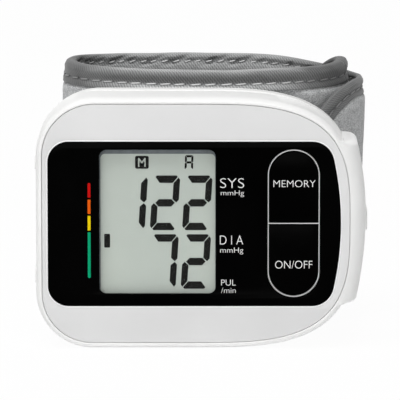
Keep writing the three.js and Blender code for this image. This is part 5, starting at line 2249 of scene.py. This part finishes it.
    def build(self) -> None:
        """Weave, dress and place the three lengths of the cuff and its hook field."""
        lengths = self.lengths()
        for length in lengths:
            name, carry = length.name, length.carry
            pad = self.pad(f"cuff_pad_{name}", length.start, length.stop)
            self.finishes.settle(pad, Slot.FLEECE, *length.pads, carry=carry)
            for number, route in enumerate(length.routes):
                edge = self.edge_tape(f"cuff_edge_{name}_{number}", route)
                self.finishes.settle(edge, Slot.TAPE, *length.tapes, carry=carry)
            thread = self.stitches(f"cuff_stitches_{name}", length.routes)
            self.finishes.settle(thread, Slot.TAPE, carry=carry, material=self.finishes.thread)
        self.finishes.settle(self.hook_field(), Slot.HOOK, "cuff_hook_patch", carry=lengths[-1].carry)


@dataclass
class Studio:
    """Camera, soft light and a pale floor, in metres and watts."""

    distance: float = 1.2
    elevation: float = 8.4
    lens: float = 400.0
    sensor: float = 36.0
    clip: Flat = (0.05, 20.0)
    aim: Place = (1.08, 0.0, 6.42)
    lamp_aim: Place = (0.0, 20.0, 0.0)
    ambient: float = 0.16
    floor_size: float = 8.0
    floor_tone: Colour = (0.92, 0.92, 0.92, 1.0)
    floor_shown: float = 0.965

    def camera(self) -> None:
        """Set up the camera at the photograph's angle."""
        data = bpy.data.cameras.new("camera")
        data.lens, data.sensor_width = self.lens, self.sensor
        data.clip_start, data.clip_end = self.clip
        view = bpy.data.objects.new("camera", data)
        bpy.context.scene.collection.objects.link(view)
        rise = math.radians(self.elevation)
        back = Vector((0, -math.cos(rise), math.sin(rise)))
        view.location = DATUM.at(*self.aim) + back * self.distance
        view.rotation_euler = (-back).to_track_quat("-Z", "Y").to_euler()
        bpy.context.scene.camera = view

    def lamp(self, name: str, place: Place, size: Flat, power: float) -> None:
        """Hang a soft lamp that points at the monitor.

        Args:
            name: Name of the lamp.
            place: Where it hangs.
            size: Its width and height.
            power: Its power.
        """
        data = bpy.data.lights.new(name, "AREA")
        data.shape = "RECTANGLE"
        data.size, data.size_y = size
        data.energy = power
        lamp = bpy.data.objects.new(name, data)
        bpy.context.scene.collection.objects.link(lamp)
        lamp.location = place
        lamp.rotation_euler = (DATUM.at(*self.lamp_aim) - Vector(place)).to_track_quat("-Z", "Y").to_euler()

    def world(self) -> None:
        """Light the room evenly and show it white."""
        room = bpy.data.worlds.new("room")
        bpy.context.scene.world = room
        room.use_nodes = True
        nodes = Nodes(room.node_tree)
        soft = room.node_tree.nodes["Background"]
        nodes.fill(soft, Color=PURE_WHITE, Strength=self.ambient)
        white = nodes.node("ShaderNodeBackground", Color=PURE_WHITE)
        nodes.show("World Output", nodes.seen(), soft.outputs[0], white.outputs[0])

    def floor(self) -> None:
        """Lay a pale floor that keeps the shadow of the monitor."""
        Bench.pick()
        bpy.ops.mesh.primitive_grid_add(x_subdivisions=8, y_subdivisions=8, size=self.floor_size)
        ground = Bench.named("floor")
        surface = Surface("floor")
        surface.shade(Base_Color=self.floor_tone, Roughness=0.9, Specular_IOR_Level=0.0)
        white = surface.node("ShaderNodeEmission", Color=PURE_WHITE)
        shown = surface.reckon("ShaderNodeMath", "MULTIPLY", surface.seen(), self.floor_shown)
        surface.show("Material Output", shown, surface.shader.outputs[0], white.outputs[0])
        ground.data.materials.append(surface.material)
        ground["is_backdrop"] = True

    def build(self) -> None:
        """Set the view, the room and the lamps."""
        bpy.context.scene.view_settings.view_transform = "Standard"
        self.camera()
        self.world()
        self.floor()
        self.lamp("front_lamp", (-0.4, -2.6, 0.3), (2.0, 0.5), 19.0)
        self.lamp("top_lamp", (-0.4, -0.75, 2.35), (1.8, 1.4), 49.5)
        self.lamp("back_lamp", (0.0, 1.6, 1.9), (1.6, 1.6), 4.0)


def main() -> None:
    """Build the studio and every piece of the monitor, then work out the sizes of the model and of the
    pieces.
    """
    logging.basicConfig(level=logging.INFO, format="%(name)s: %(message)s")
    Studio().build()
    finishes = Finishes()
    Housing(finishes).build()
    face = Face(finishes)
    face.build()
    Readout(finishes, face).build()
    Keys(finishes, face).build()
    BatteryCover(finishes).build()
    Cuff(finishes).build()
    finishes.carry_over()
    boxes = {"cad": CAD_BOX, "visual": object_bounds()}
    {name: [list(corner) for corner in box] for name, box in boxes.items()}


if __name__ == "__main__":
    main()
